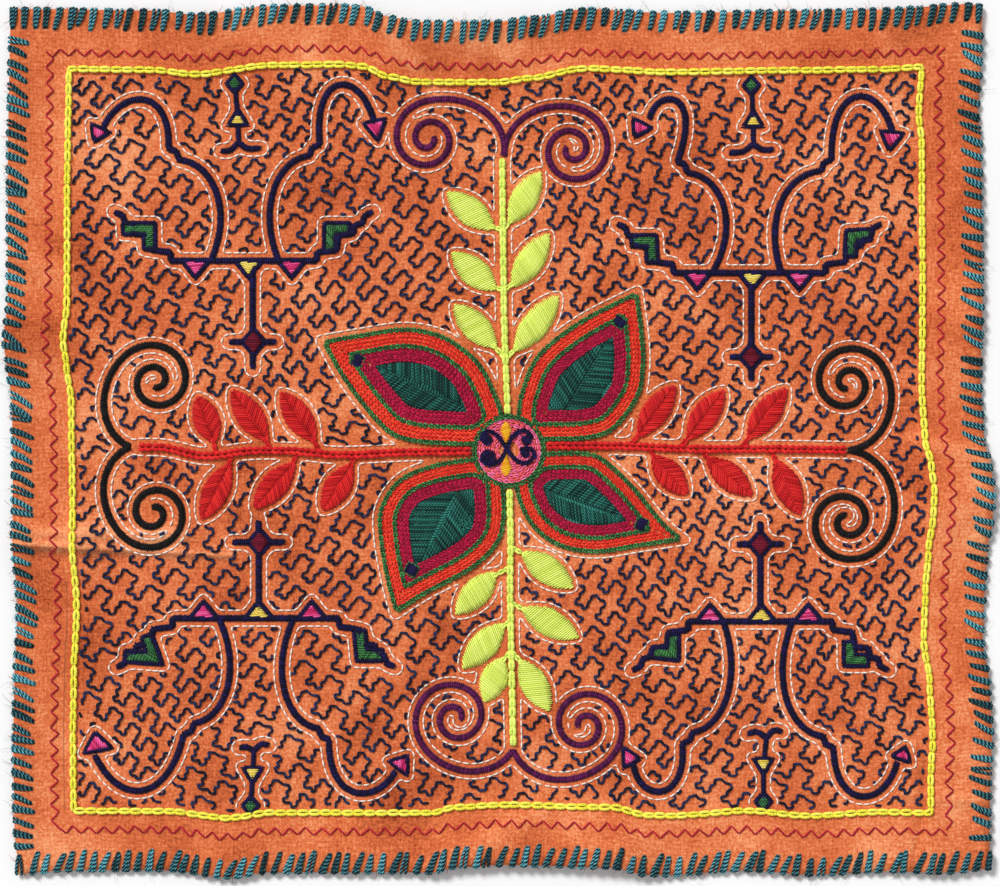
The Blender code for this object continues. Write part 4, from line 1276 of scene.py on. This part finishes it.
def inset_shape(corners, distance):
    """A cornered shape with its sides moved inwards by a distance, or outwards by a negative one."""
    points = np.asarray(corners, dtype=float)
    after = np.roll(points, -1, axis=0)
    area = np.sum(points[:, 0] * after[:, 1] - points[:, 1] * after[:, 0])
    inward = left_of(unit(after - points)) * np.sign(area)
    before = np.roll(inward, 1, axis=0)
    share = distance / np.maximum(1 + np.sum(before * inward, axis=1), 0.5)
    return points + (before + inward) * share[:, None]


def edged_fill(corners, border, chance, angle, rounding=1, lift=0.75):
    """A small filled shape: the skins of its navy border, and of the coloured fill inside it."""

    def rounded(inset):
        return smoothed(inset_shape(corners, inset), 0.8, rounding, True)

    outline = rounded(0)
    outlined_areas.append(outline)
    edge = satin_fill(outline, angle, 1.3, chance, pitch=1.1, lift=0.1, dome=0.15, steps=3)
    edge += satin_line(rounded(border / 2), border, 1.05, chance, pitch=0.9, lift=0.35, dome=0.5, closed=True)
    return edge, satin_fill(rounded(border - 0.35), angle, 1.05, chance, lift=lift, dome=0.35)


def corner_band(path, half):
    """The outline of a band of even width along a line with one bend."""
    start, corner, end = (np.array(point) for point in path)
    left_in, left_out = left_of(unit(corner - start)), left_of(unit(end - corner))
    mitre = (left_in + left_out) / (1 + left_in @ left_out)
    middle = np.array([start, corner, end])
    reach = np.array([left_in, mitre, left_out]) * half
    return np.concatenate([middle + reach, (middle - reach)[::-1]])


def make_small_fills():
    chance = np.random.default_rng(81)
    navy = []
    fills = {"pink": [], "yellow": [], "green": [], "garnet": []}

    def add(corners, border, colour, angle, **options):
        edge, inner = edged_fill(corners, border, chance, angle, **options)
        navy.extend(edge)
        fills[colour].extend(inner)

    for (middle_x, bar_y, _, up, *_), places in zip(FIGURES, BAR_TRIANGLES):
        for shift, colour in zip(places, ("pink", "yellow", "pink")):
            triangle = np.array((middle_x + shift, bar_y)) + np.array(TRIANGLE) * (1, up)
            add(triangle, BORDER_WIDTH, colour, 0.1)
    for centre in DIAMONDS:
        add(np.array(centre) + np.array(DIAMOND), 2.3, "garnet", 0.0, lift=1.35)
    for path in GREEN_CORNERS:
        band = corner_band(path, CORNER_HALF_WIDTH)
        into_corner = np.array(path[1]) - (np.array(path[0]) + path[2]) / 2
        add(inset_shape(band, -CORNER_BORDER), CORNER_BORDER, "green", angle_of(into_corner))
    for base_x, base_y, half_base, length, degrees in ARROWHEADS:
        ahead = heading(math.radians(degrees))
        across = left_of(ahead) * (half_base + 1.0)
        base = np.array((base_x, base_y)) - ahead * 0.8
        head = np.array([base + across, base - across, base + ahead * (length + 2.4)])
        add(head, 2.2, "pink", math.radians(degrees) + 0.5, rounding=3)
    for way, top, middle, fork, *feet in STAFFS:
        add(np.array(top) + np.array(DIAMOND) * (0.75, 0.74), 2.2, "green", 0.0)
        triangle = np.array(middle) + np.array(((-6.6, -4.4), (6.6, -4.4), (0.0, 6.4))) * (1, way)
        add(triangle, 2.3, "yellow", 0.0)
        lines = [(np.array((top, middle)), 2.4), (np.array((middle, fork)), 2.5)]
        lines += [(curve_through((fork, *foot), 5, closed=False), 3.0) for foot in feet]
        for line, width in lines:
            outlined_lines.append((line, width / 2))
            navy.extend(satin_line(line, width, 1.1, chance, pitch=0.95))
    thread_piece("fills_navy_borders", navy, NAVY_WOOL)
    for colour, wool, slot in (("pink", PINK_WOOL, "pink_yarn"), ("yellow", PALE_YELLOW_WOOL, "yellow_yarn"),
                               ("green", GREEN_WOOL, "green_yarn"), ("garnet", GARNET_WOOL, "crimson_yarn")):
        thread_piece("fills_" + colour, fills[colour], wool)


make_small_fills()


# White outlines: running stitch in white cotton thread round every motif, 2.3 mm outside its edge, and one
# line between the turns of each scroll. The needle dips under the cloth between one stitch and the next.
GAP_STEP = 0.5
GAP_HALF_WIDTH = 222.0
GAP_HALF_HEIGHT = 195.0
GAP_REACH = 9.0
WHITE_GAP = 2.3
# A single middle line runs where a scroll's turns leave this much room on each side of it.
MIDDLE_ROOM = (0.9, 3.3)
MIDDLE_CELLS = 4
SHORTEST_OUTLINE = 16
WHITE_PITCH = 3.7
WHITE_SHARE = 0.91
WHITE_THREAD = 1.0
WHITE_HEIGHTS = (-0.15, 0.42, 0.42, -0.15)
WHITE_COTTON = yarn_material(
    "white cotton thread", (200, 170, 150), (255, 244, 232), (255, 255, 250), turn_length=0.9, fading=0.3)


def make_gap_map():
    """A map of the distance from the nearest motif's edge, which is negative inside a motif."""
    across = np.arange(-GAP_HALF_WIDTH, GAP_HALF_WIDTH + GAP_STEP, GAP_STEP)
    up = np.arange(-GAP_HALF_HEIGHT, GAP_HALF_HEIGHT + GAP_STEP, GAP_STEP)
    corner = np.array((GAP_HALF_WIDTH, GAP_HALF_HEIGHT))
    gap = np.full((len(up), len(across)), GAP_REACH)

    def window(points):
        first = np.maximum((points.min(axis=0) - GAP_REACH + corner) / GAP_STEP, 0).astype(int)
        last = np.maximum((points.max(axis=0) + GAP_REACH + corner) / GAP_STEP + 1, 0).astype(int)
        rows, columns = slice(first[1], last[1]), slice(first[0], last[0])
        return (rows, columns), *np.meshgrid(across[columns], up[rows])

    for line, half in outlined_lines:
        for start, end in zip(line, line[1:]):
            part, x, y = window(np.array([start, end]))
            gap[part] = np.minimum(gap[part], segment_distance(x, y, *start, *end) - half)
    for outline in outlined_areas:
        part, x, y = window(outline)
        gap[part] = np.minimum(gap[part], -signed_depth(x, y, outline))
    return gap


GAP_MAP = make_gap_map()


def gap_cells(places):
    """Rows and columns of the gap map at many places."""
    column = np.clip(np.rint((places[..., 0] + GAP_HALF_WIDTH) / GAP_STEP), 0, GAP_MAP.shape[1] - 1)
    row = np.clip(np.rint((places[..., 1] + GAP_HALF_HEIGHT) / GAP_STEP), 0, GAP_MAP.shape[0] - 1)
    return row.astype(int), column.astype(int)


def gap_at(places):
    """Distance from the nearest motif at many places."""
    return GAP_MAP[gap_cells(places)]


def inset_at(places):
    """Distance inside the cloth's cut edge at many places."""
    return read_map(INSET_MAP, places[..., 0], places[..., 1])


def scroll_middles():
    """Lines midway between the turns of each scroll, where two outlines would have no room."""
    lines = []
    for _, width, joint, spirals in SCROLLS.values():
        for *centre, way, radius, turns in spirals:
            path = spiral(joint, np.array(centre), way, radius, turns) - centre
            reach = np.hypot(*path.T)
            part = np.linspace(0, 1, len(path))
            inner = np.interp(part + 1 / turns, part, reach)
            middle = centre + path * ((reach + inner) / 2 / reach)[:, None]
            room = (reach - inner - width) / 2
            kept = (part < 1 - 1 / turns) & (room > MIDDLE_ROOM[0]) & (room < MIDDLE_ROOM[1])
            if kept.sum() > 4:
                lines.append(middle[kept])
    return lines


def running_stitches(path, closed, chance):
    length = path_length(path, closed)
    count = max(round(length / WHITE_PITCH), 1)
    start = (np.arange(count) + chance.normal(0, 0.06, count)) * length / count
    dash = WHITE_SHARE * length / count * chance.uniform(0.88, 1.06, count)
    share = np.linspace(0, 1, 4)
    point, _ = walk(path, start[:, None] + dash[:, None] * share, closed)
    line = laid(point, np.array(WHITE_HEIGHTS))
    radius = WHITE_THREAD / 2 * np.array((0.7, 1.0, 1.0, 0.7)) * np.ones((count, 1))
    kept = inset_at(point).min(axis=1) > FRAME_INSET + 1.8
    return strand_skin(line[kept], radius[kept], chance.uniform(0.3, 0.7, kept.sum()))


def make_white_outlines():
    chance = np.random.default_rng(83)
    middles = scroll_middles()
    row, column = gap_cells(np.concatenate(middles))
    shifts = range(-MIDDLE_CELLS, MIDDLE_CELLS + 1)
    for shift_x in shifts:
        for shift_y in shifts:
            near = (row + shift_y, column + shift_x)
            GAP_MAP[near] = np.minimum(GAP_MAP[near], WHITE_GAP - 0.3)
    lines = [(smoothed(line, 1.2, 2, closed), closed)
             for line, closed in level_lines(GAP_MAP, WHITE_GAP, -GAP_HALF_WIDTH, -GAP_HALF_HEIGHT, GAP_STEP)
             if path_length(line, closed) > SHORTEST_OUTLINE]
    lines += [(line, False) for line in middles]
    skins = [running_stitches(line, closed, chance) for line, closed in lines]
    thread_piece("white_outlines", skins, WHITE_COTTON)


make_white_outlines()


# Meander: the field's ground, in dark blue back stitch. One run of small steps repeats in slanting rows, and
# each row bends a little, as handwork wanders. It stops short of the white outlines.
MEANDER_RUN = (
    (3, 0.1), (0.4, -2.3), (2.7, 0.3), (0.1, 2.8), (1.9, 0.6), (0.4, 2.5), (2.7, 0.1), (1.2, -2.2), (2.9, -0.5),
    (0.2, -2.4), (-2.2, -1.2), (0.3, -2.4), (-2.4, -0.8), (0.2, -2.2),
)
MEANDER_ALONG = (11.4, -7.6)
MEANDER_ROWS = (11.4, 7.6)
MEANDER_REPEATS = 23
MEANDER_WAVES = 7
MEANDER_WANDER = 0.24
# A stitch that is cut off at a white outline stays when this much of it is left.
SHORTEST_SHARE = 0.35
MEANDER_THREAD = 1.75
MEANDER_HEIGHTS = (0.12, 0.62, 0.62, 0.12)
MEANDER_ROOM = 3.0
INK_WOOL = yarn_material(
    "ink blue wool", (1, 1, 12), (10, 11, 44), (44, 62, 108), turn_length=1.3, ply_depth_and_shade=0.7, fading=0.7,
    sheen=0.1)


def make_meander():
    chance = np.random.default_rng(91)
    steps = np.array(MEANDER_RUN)
    nodes = np.cumsum(steps, axis=0) - steps
    reach = np.arange(-MEANDER_REPEATS, MEANDER_REPEATS + 1)
    row, place = np.meshgrid(reach, reach, indexing="ij")
    corner = row[..., None] * np.array(MEANDER_ROWS) + place[..., None] * np.array(MEANDER_ALONG)
    points = corner[:, :, None] + nodes
    points = points + chance.normal(0, MEANDER_WANDER, points.shape)
    points = points.reshape(len(reach), -1, 2)
    bend = np.zeros_like(points)
    for _ in range(MEANDER_WAVES):
        angle, start = chance.uniform(0, 2 * math.pi, 2)
        turn = points @ heading(angle) * 2 * math.pi / chance.uniform(80, 190) + start
        bend += np.sin(turn)[..., None] * chance.normal(0, 1.3, 2)
    points = points + bend
    start = points[:, :-1].reshape(-1, 2)
    end = points[:, 1:].reshape(-1, 2)
    from_gap, to_gap = gap_at(start), gap_at(end)
    crossing = (MEANDER_ROOM - from_gap) / np.where(np.abs(to_gap - from_gap) < 0.01, 0.01, to_gap - from_gap)
    low = np.where(from_gap < MEANDER_ROOM, crossing, 0.0)
    high = np.where(to_gap < MEANDER_ROOM, crossing, 1.0)
    kept = (np.maximum(from_gap, to_gap) >= MEANDER_ROOM) & (high - low > SHORTEST_SHARE)
    kept &= gap_at((start + end) / 2) > MEANDER_ROOM - 0.4
    kept &= np.minimum(inset_at(start), inset_at(end)) > FRAME_INSET + 2.3
    kept &= (np.abs(start[:, 0]) < GAP_HALF_WIDTH) & (np.abs(start[:, 1]) < GAP_HALF_HEIGHT)
    run = end - start
    near = (start + run * (low[:, None] + 0.02))[kept]
    far = (start + run * (high[:, None] - 0.02))[kept]
    share = np.array((0.0, 0.22, 0.78, 1.0))
    place = near[:, None] + (far - near)[:, None] * share[:, None]
    line = laid(place, np.array(MEANDER_HEIGHTS))
    radius = MEANDER_THREAD / 2 * np.array((0.8, 1.0, 1.0, 0.8)) * chance.uniform(0.88, 1.1, (len(near), 1))
    shade = chance.uniform(0.1, 0.9, len(near))
    for name, side in (("meander_upper", near[:, 1] >= 0), ("meander_lower", near[:, 1] < 0)):
        thread_piece(name, [strand_skin(line[side], radius[side], shade[side])], INK_WOOL)


make_meander()


# Zigzag line: straight slanting stitches of thin crimson wool, all round between the edging and the
# frame line.
ZIGZAG_STEP = 3.9
ZIGZAG_SWING = 2.0
ZIGZAG_TOP_INSET = 21.5
ZIGZAG_SIDE_INSET = 20.0
ZIGZAG_THREAD = 1.15
ZIGZAG_HEIGHTS = (0.0, 0.38, 0.38, 0.0)
THIN_CRIMSON_WOOL = yarn_material("thin crimson wool", (100, 0, 18), (172, 8, 40), (220, 40, 66))


def make_zigzag():
    chance = np.random.default_rng(93)
    skins = []
    for runs_along_x, side in SIDES:
        half_run, half = side_sizes(runs_along_x)
        half_run = half_run - ZIGZAG_SIDE_INSET - 1.0
        inset = ZIGZAG_TOP_INSET if runs_along_x and side == 1 else ZIGZAG_SIDE_INSET
        count = round(2 * half_run / ZIGZAG_STEP)
        along = np.linspace(-half_run, half_run, count) + chance.normal(0, 0.28, count)
        swing = ZIGZAG_SWING * np.where(np.arange(count) % 2, 1, -1) + chance.normal(0, 0.22, count)
        across = side * (half - inset + swing)
        turns = np.stack(lie(*set_along(runs_along_x, along, across)), axis=1)
        start, run = turns[:-1], np.diff(turns, axis=0)
        share = np.array((0.03, 0.2, 0.8, 0.97))
        line = laid(start[:, None] + run[:, None] * share[:, None], np.array(ZIGZAG_HEIGHTS))
        radius = ZIGZAG_THREAD / 2 * np.array((0.8, 1.0, 1.0, 0.8)) * np.ones((count - 1, 1))
        skins.append(strand_skin(line, radius, chance.uniform(0.2, 0.8, count - 1)))
    thread_piece("zigzag_line", skins, THIN_CRIMSON_WOOL)


make_zigzag()


# Frayed fibres: fine teal and grey hairs that stand out of the edging, and short thicker ends of the cotton's
# own threads where its cut edge ravels between the stitches.
# Hairs: how many on a side, spread of their lengths, the longest, thickness, how far inside they root.
WOOL_HAIRS = (130, 1.7, 9.0, 0.18, 0.8)
COTTON_HAIRS = (260, 1.05, 4.5, 0.42, 1.2)
FRAY_WOOL = yarn_material("frayed wool fibre", (70, 90, 84), (96, 124, 116), (150, 160, 150))
FRAY_COTTON = yarn_material("ravelled cotton", (150, 64, 36), (222, 120, 80), (250, 190, 156))


def loose_hairs(count, spread, longest, thickness, inside, chance):
    """Hairs that stand out of the cut edge on all four sides, with roots up to a distance inside it."""
    lines = []
    for runs_along_x, side in SIDES:
        half_run, half = side_sizes(runs_along_x)
        along = chance.uniform(2.0 - half_run, half_run - 2.0, count)
        across = side * (half - chance.uniform(0.2, inside, count))
        x, y = lie(*set_along(runs_along_x, along, across))
        root = np.stack([x, y, face_height(x, y) + chance.uniform(-0.9, 0.1, count)], axis=1)
        length = chance.gamma(2.2, spread, count).clip(0.8, longest)
        lean = chance.normal(0, 0.75, count)
        curl = lean + chance.normal(0, 0.9, count)
        share = np.linspace(0, 1, 5)
        angle = lean[:, None] + (curl - lean)[:, None] * share
        step = length[:, None] / 4
        out = (np.cumsum(np.cos(angle), axis=1) - np.cos(angle[:, :1])) * step * side
        over = (np.cumsum(np.sin(angle), axis=1) - np.sin(angle[:, :1])) * step
        plan = root[:, None, :2] + np.stack(set_along(runs_along_x, over, out), axis=-1)
        height = root[:, 2:] + (chance.uniform(0.3, 2.4, (count, 1)) - root[:, 2:]) * share
        lines.append(np.concatenate([plan, np.maximum(height, 0.2)[..., None]], axis=-1))
    line = np.concatenate(lines)
    radius = thickness / 2 * np.linspace(1.0, 0.5, 5) * np.ones((len(line), 1))
    return strand_skin(line, radius, chance.uniform(0.1, 0.9, len(line)), sides=3, flat=1.0)


def make_frayed_fibres():
    chance = np.random.default_rng(95)
    thread_piece("frayed_fibres", [loose_hairs(*WOOL_HAIRS, chance)], FRAY_WOOL)
    thread_piece("frayed_cotton", [loose_hairs(*COTTON_HAIRS, chance)], FRAY_COTTON)


make_frayed_fibres()


# Camera, lights and floor: the camera looks straight down, as in the photograph. A soft key light comes
# from the upper left, a wide soft light fills the shadows, and the floor is plain and pale.
CAMERA_LENS = 100.0
CAMERA_SENSOR = 36.0
KEY_ENERGY = 2.55
KEY_SPREAD = 16
KEY_TURNS = (-32, -30, 0)
FILL_STRENGTH = 0.46
# Half the floor's width and its level, in metres.
FLOOR_HALF = 1.6
FLOOR_LEVEL = -0.0004
FIELD_WIDTH = 500.0
FIELD_CENTRE = (0.5, -1.0)


def make_stage():
    floor_mesh = bpy.data.meshes.new("floor")
    corners = [(x * FLOOR_HALF, y * FLOOR_HALF, FLOOR_LEVEL) for x, y in ((-1, -1), (1, -1), (1, 1), (-1, 1))]
    floor_mesh.from_pydata(corners, [], [(0, 1, 2, 3)])
    material, tree, shader = new_material("pale floor", roughness=0.85)
    place = add_node(tree, "ShaderNodeTexCoord").outputs["Object"]
    mottle = noise(tree, place, 3.0)["Fac"]
    colour = colour_ramp(tree, mottle, dye(246, 246, 246), dye(252, 252, 252))
    tree.links.new(colour, shader.inputs["Base Color"])
    floor_mesh.materials.append(material)
    add_object("floor", floor_mesh)

    camera_data = bpy.data.cameras.new("camera")
    camera_data.lens = CAMERA_LENS
    camera_data.sensor_width = CAMERA_SENSOR
    camera = add_object("camera", camera_data)
    distance = FIELD_WIDTH * CAMERA_LENS / CAMERA_SENSOR
    camera.location = (FIELD_CENTRE[0] * MM, FIELD_CENTRE[1] * MM, distance * MM)
    bpy.context.scene.camera = camera

    key_data = bpy.data.lights.new("key light", "SUN")
    key_data.energy = KEY_ENERGY
    key_data.angle = math.radians(KEY_SPREAD)
    add_object("key light", key_data).rotation_euler = [math.radians(turn) for turn in KEY_TURNS]

    world = bpy.data.worlds.new("soft light")
    world.use_nodes = True
    background = world.node_tree.nodes["Background"]
    background.inputs["Color"].default_value = (1.0, 1.0, 1.0, 1.0)
    background.inputs["Strength"].default_value = FILL_STRENGTH
    bpy.context.scene.world = world
    bpy.context.scene.view_settings.view_transform = "Standard"


make_stage()
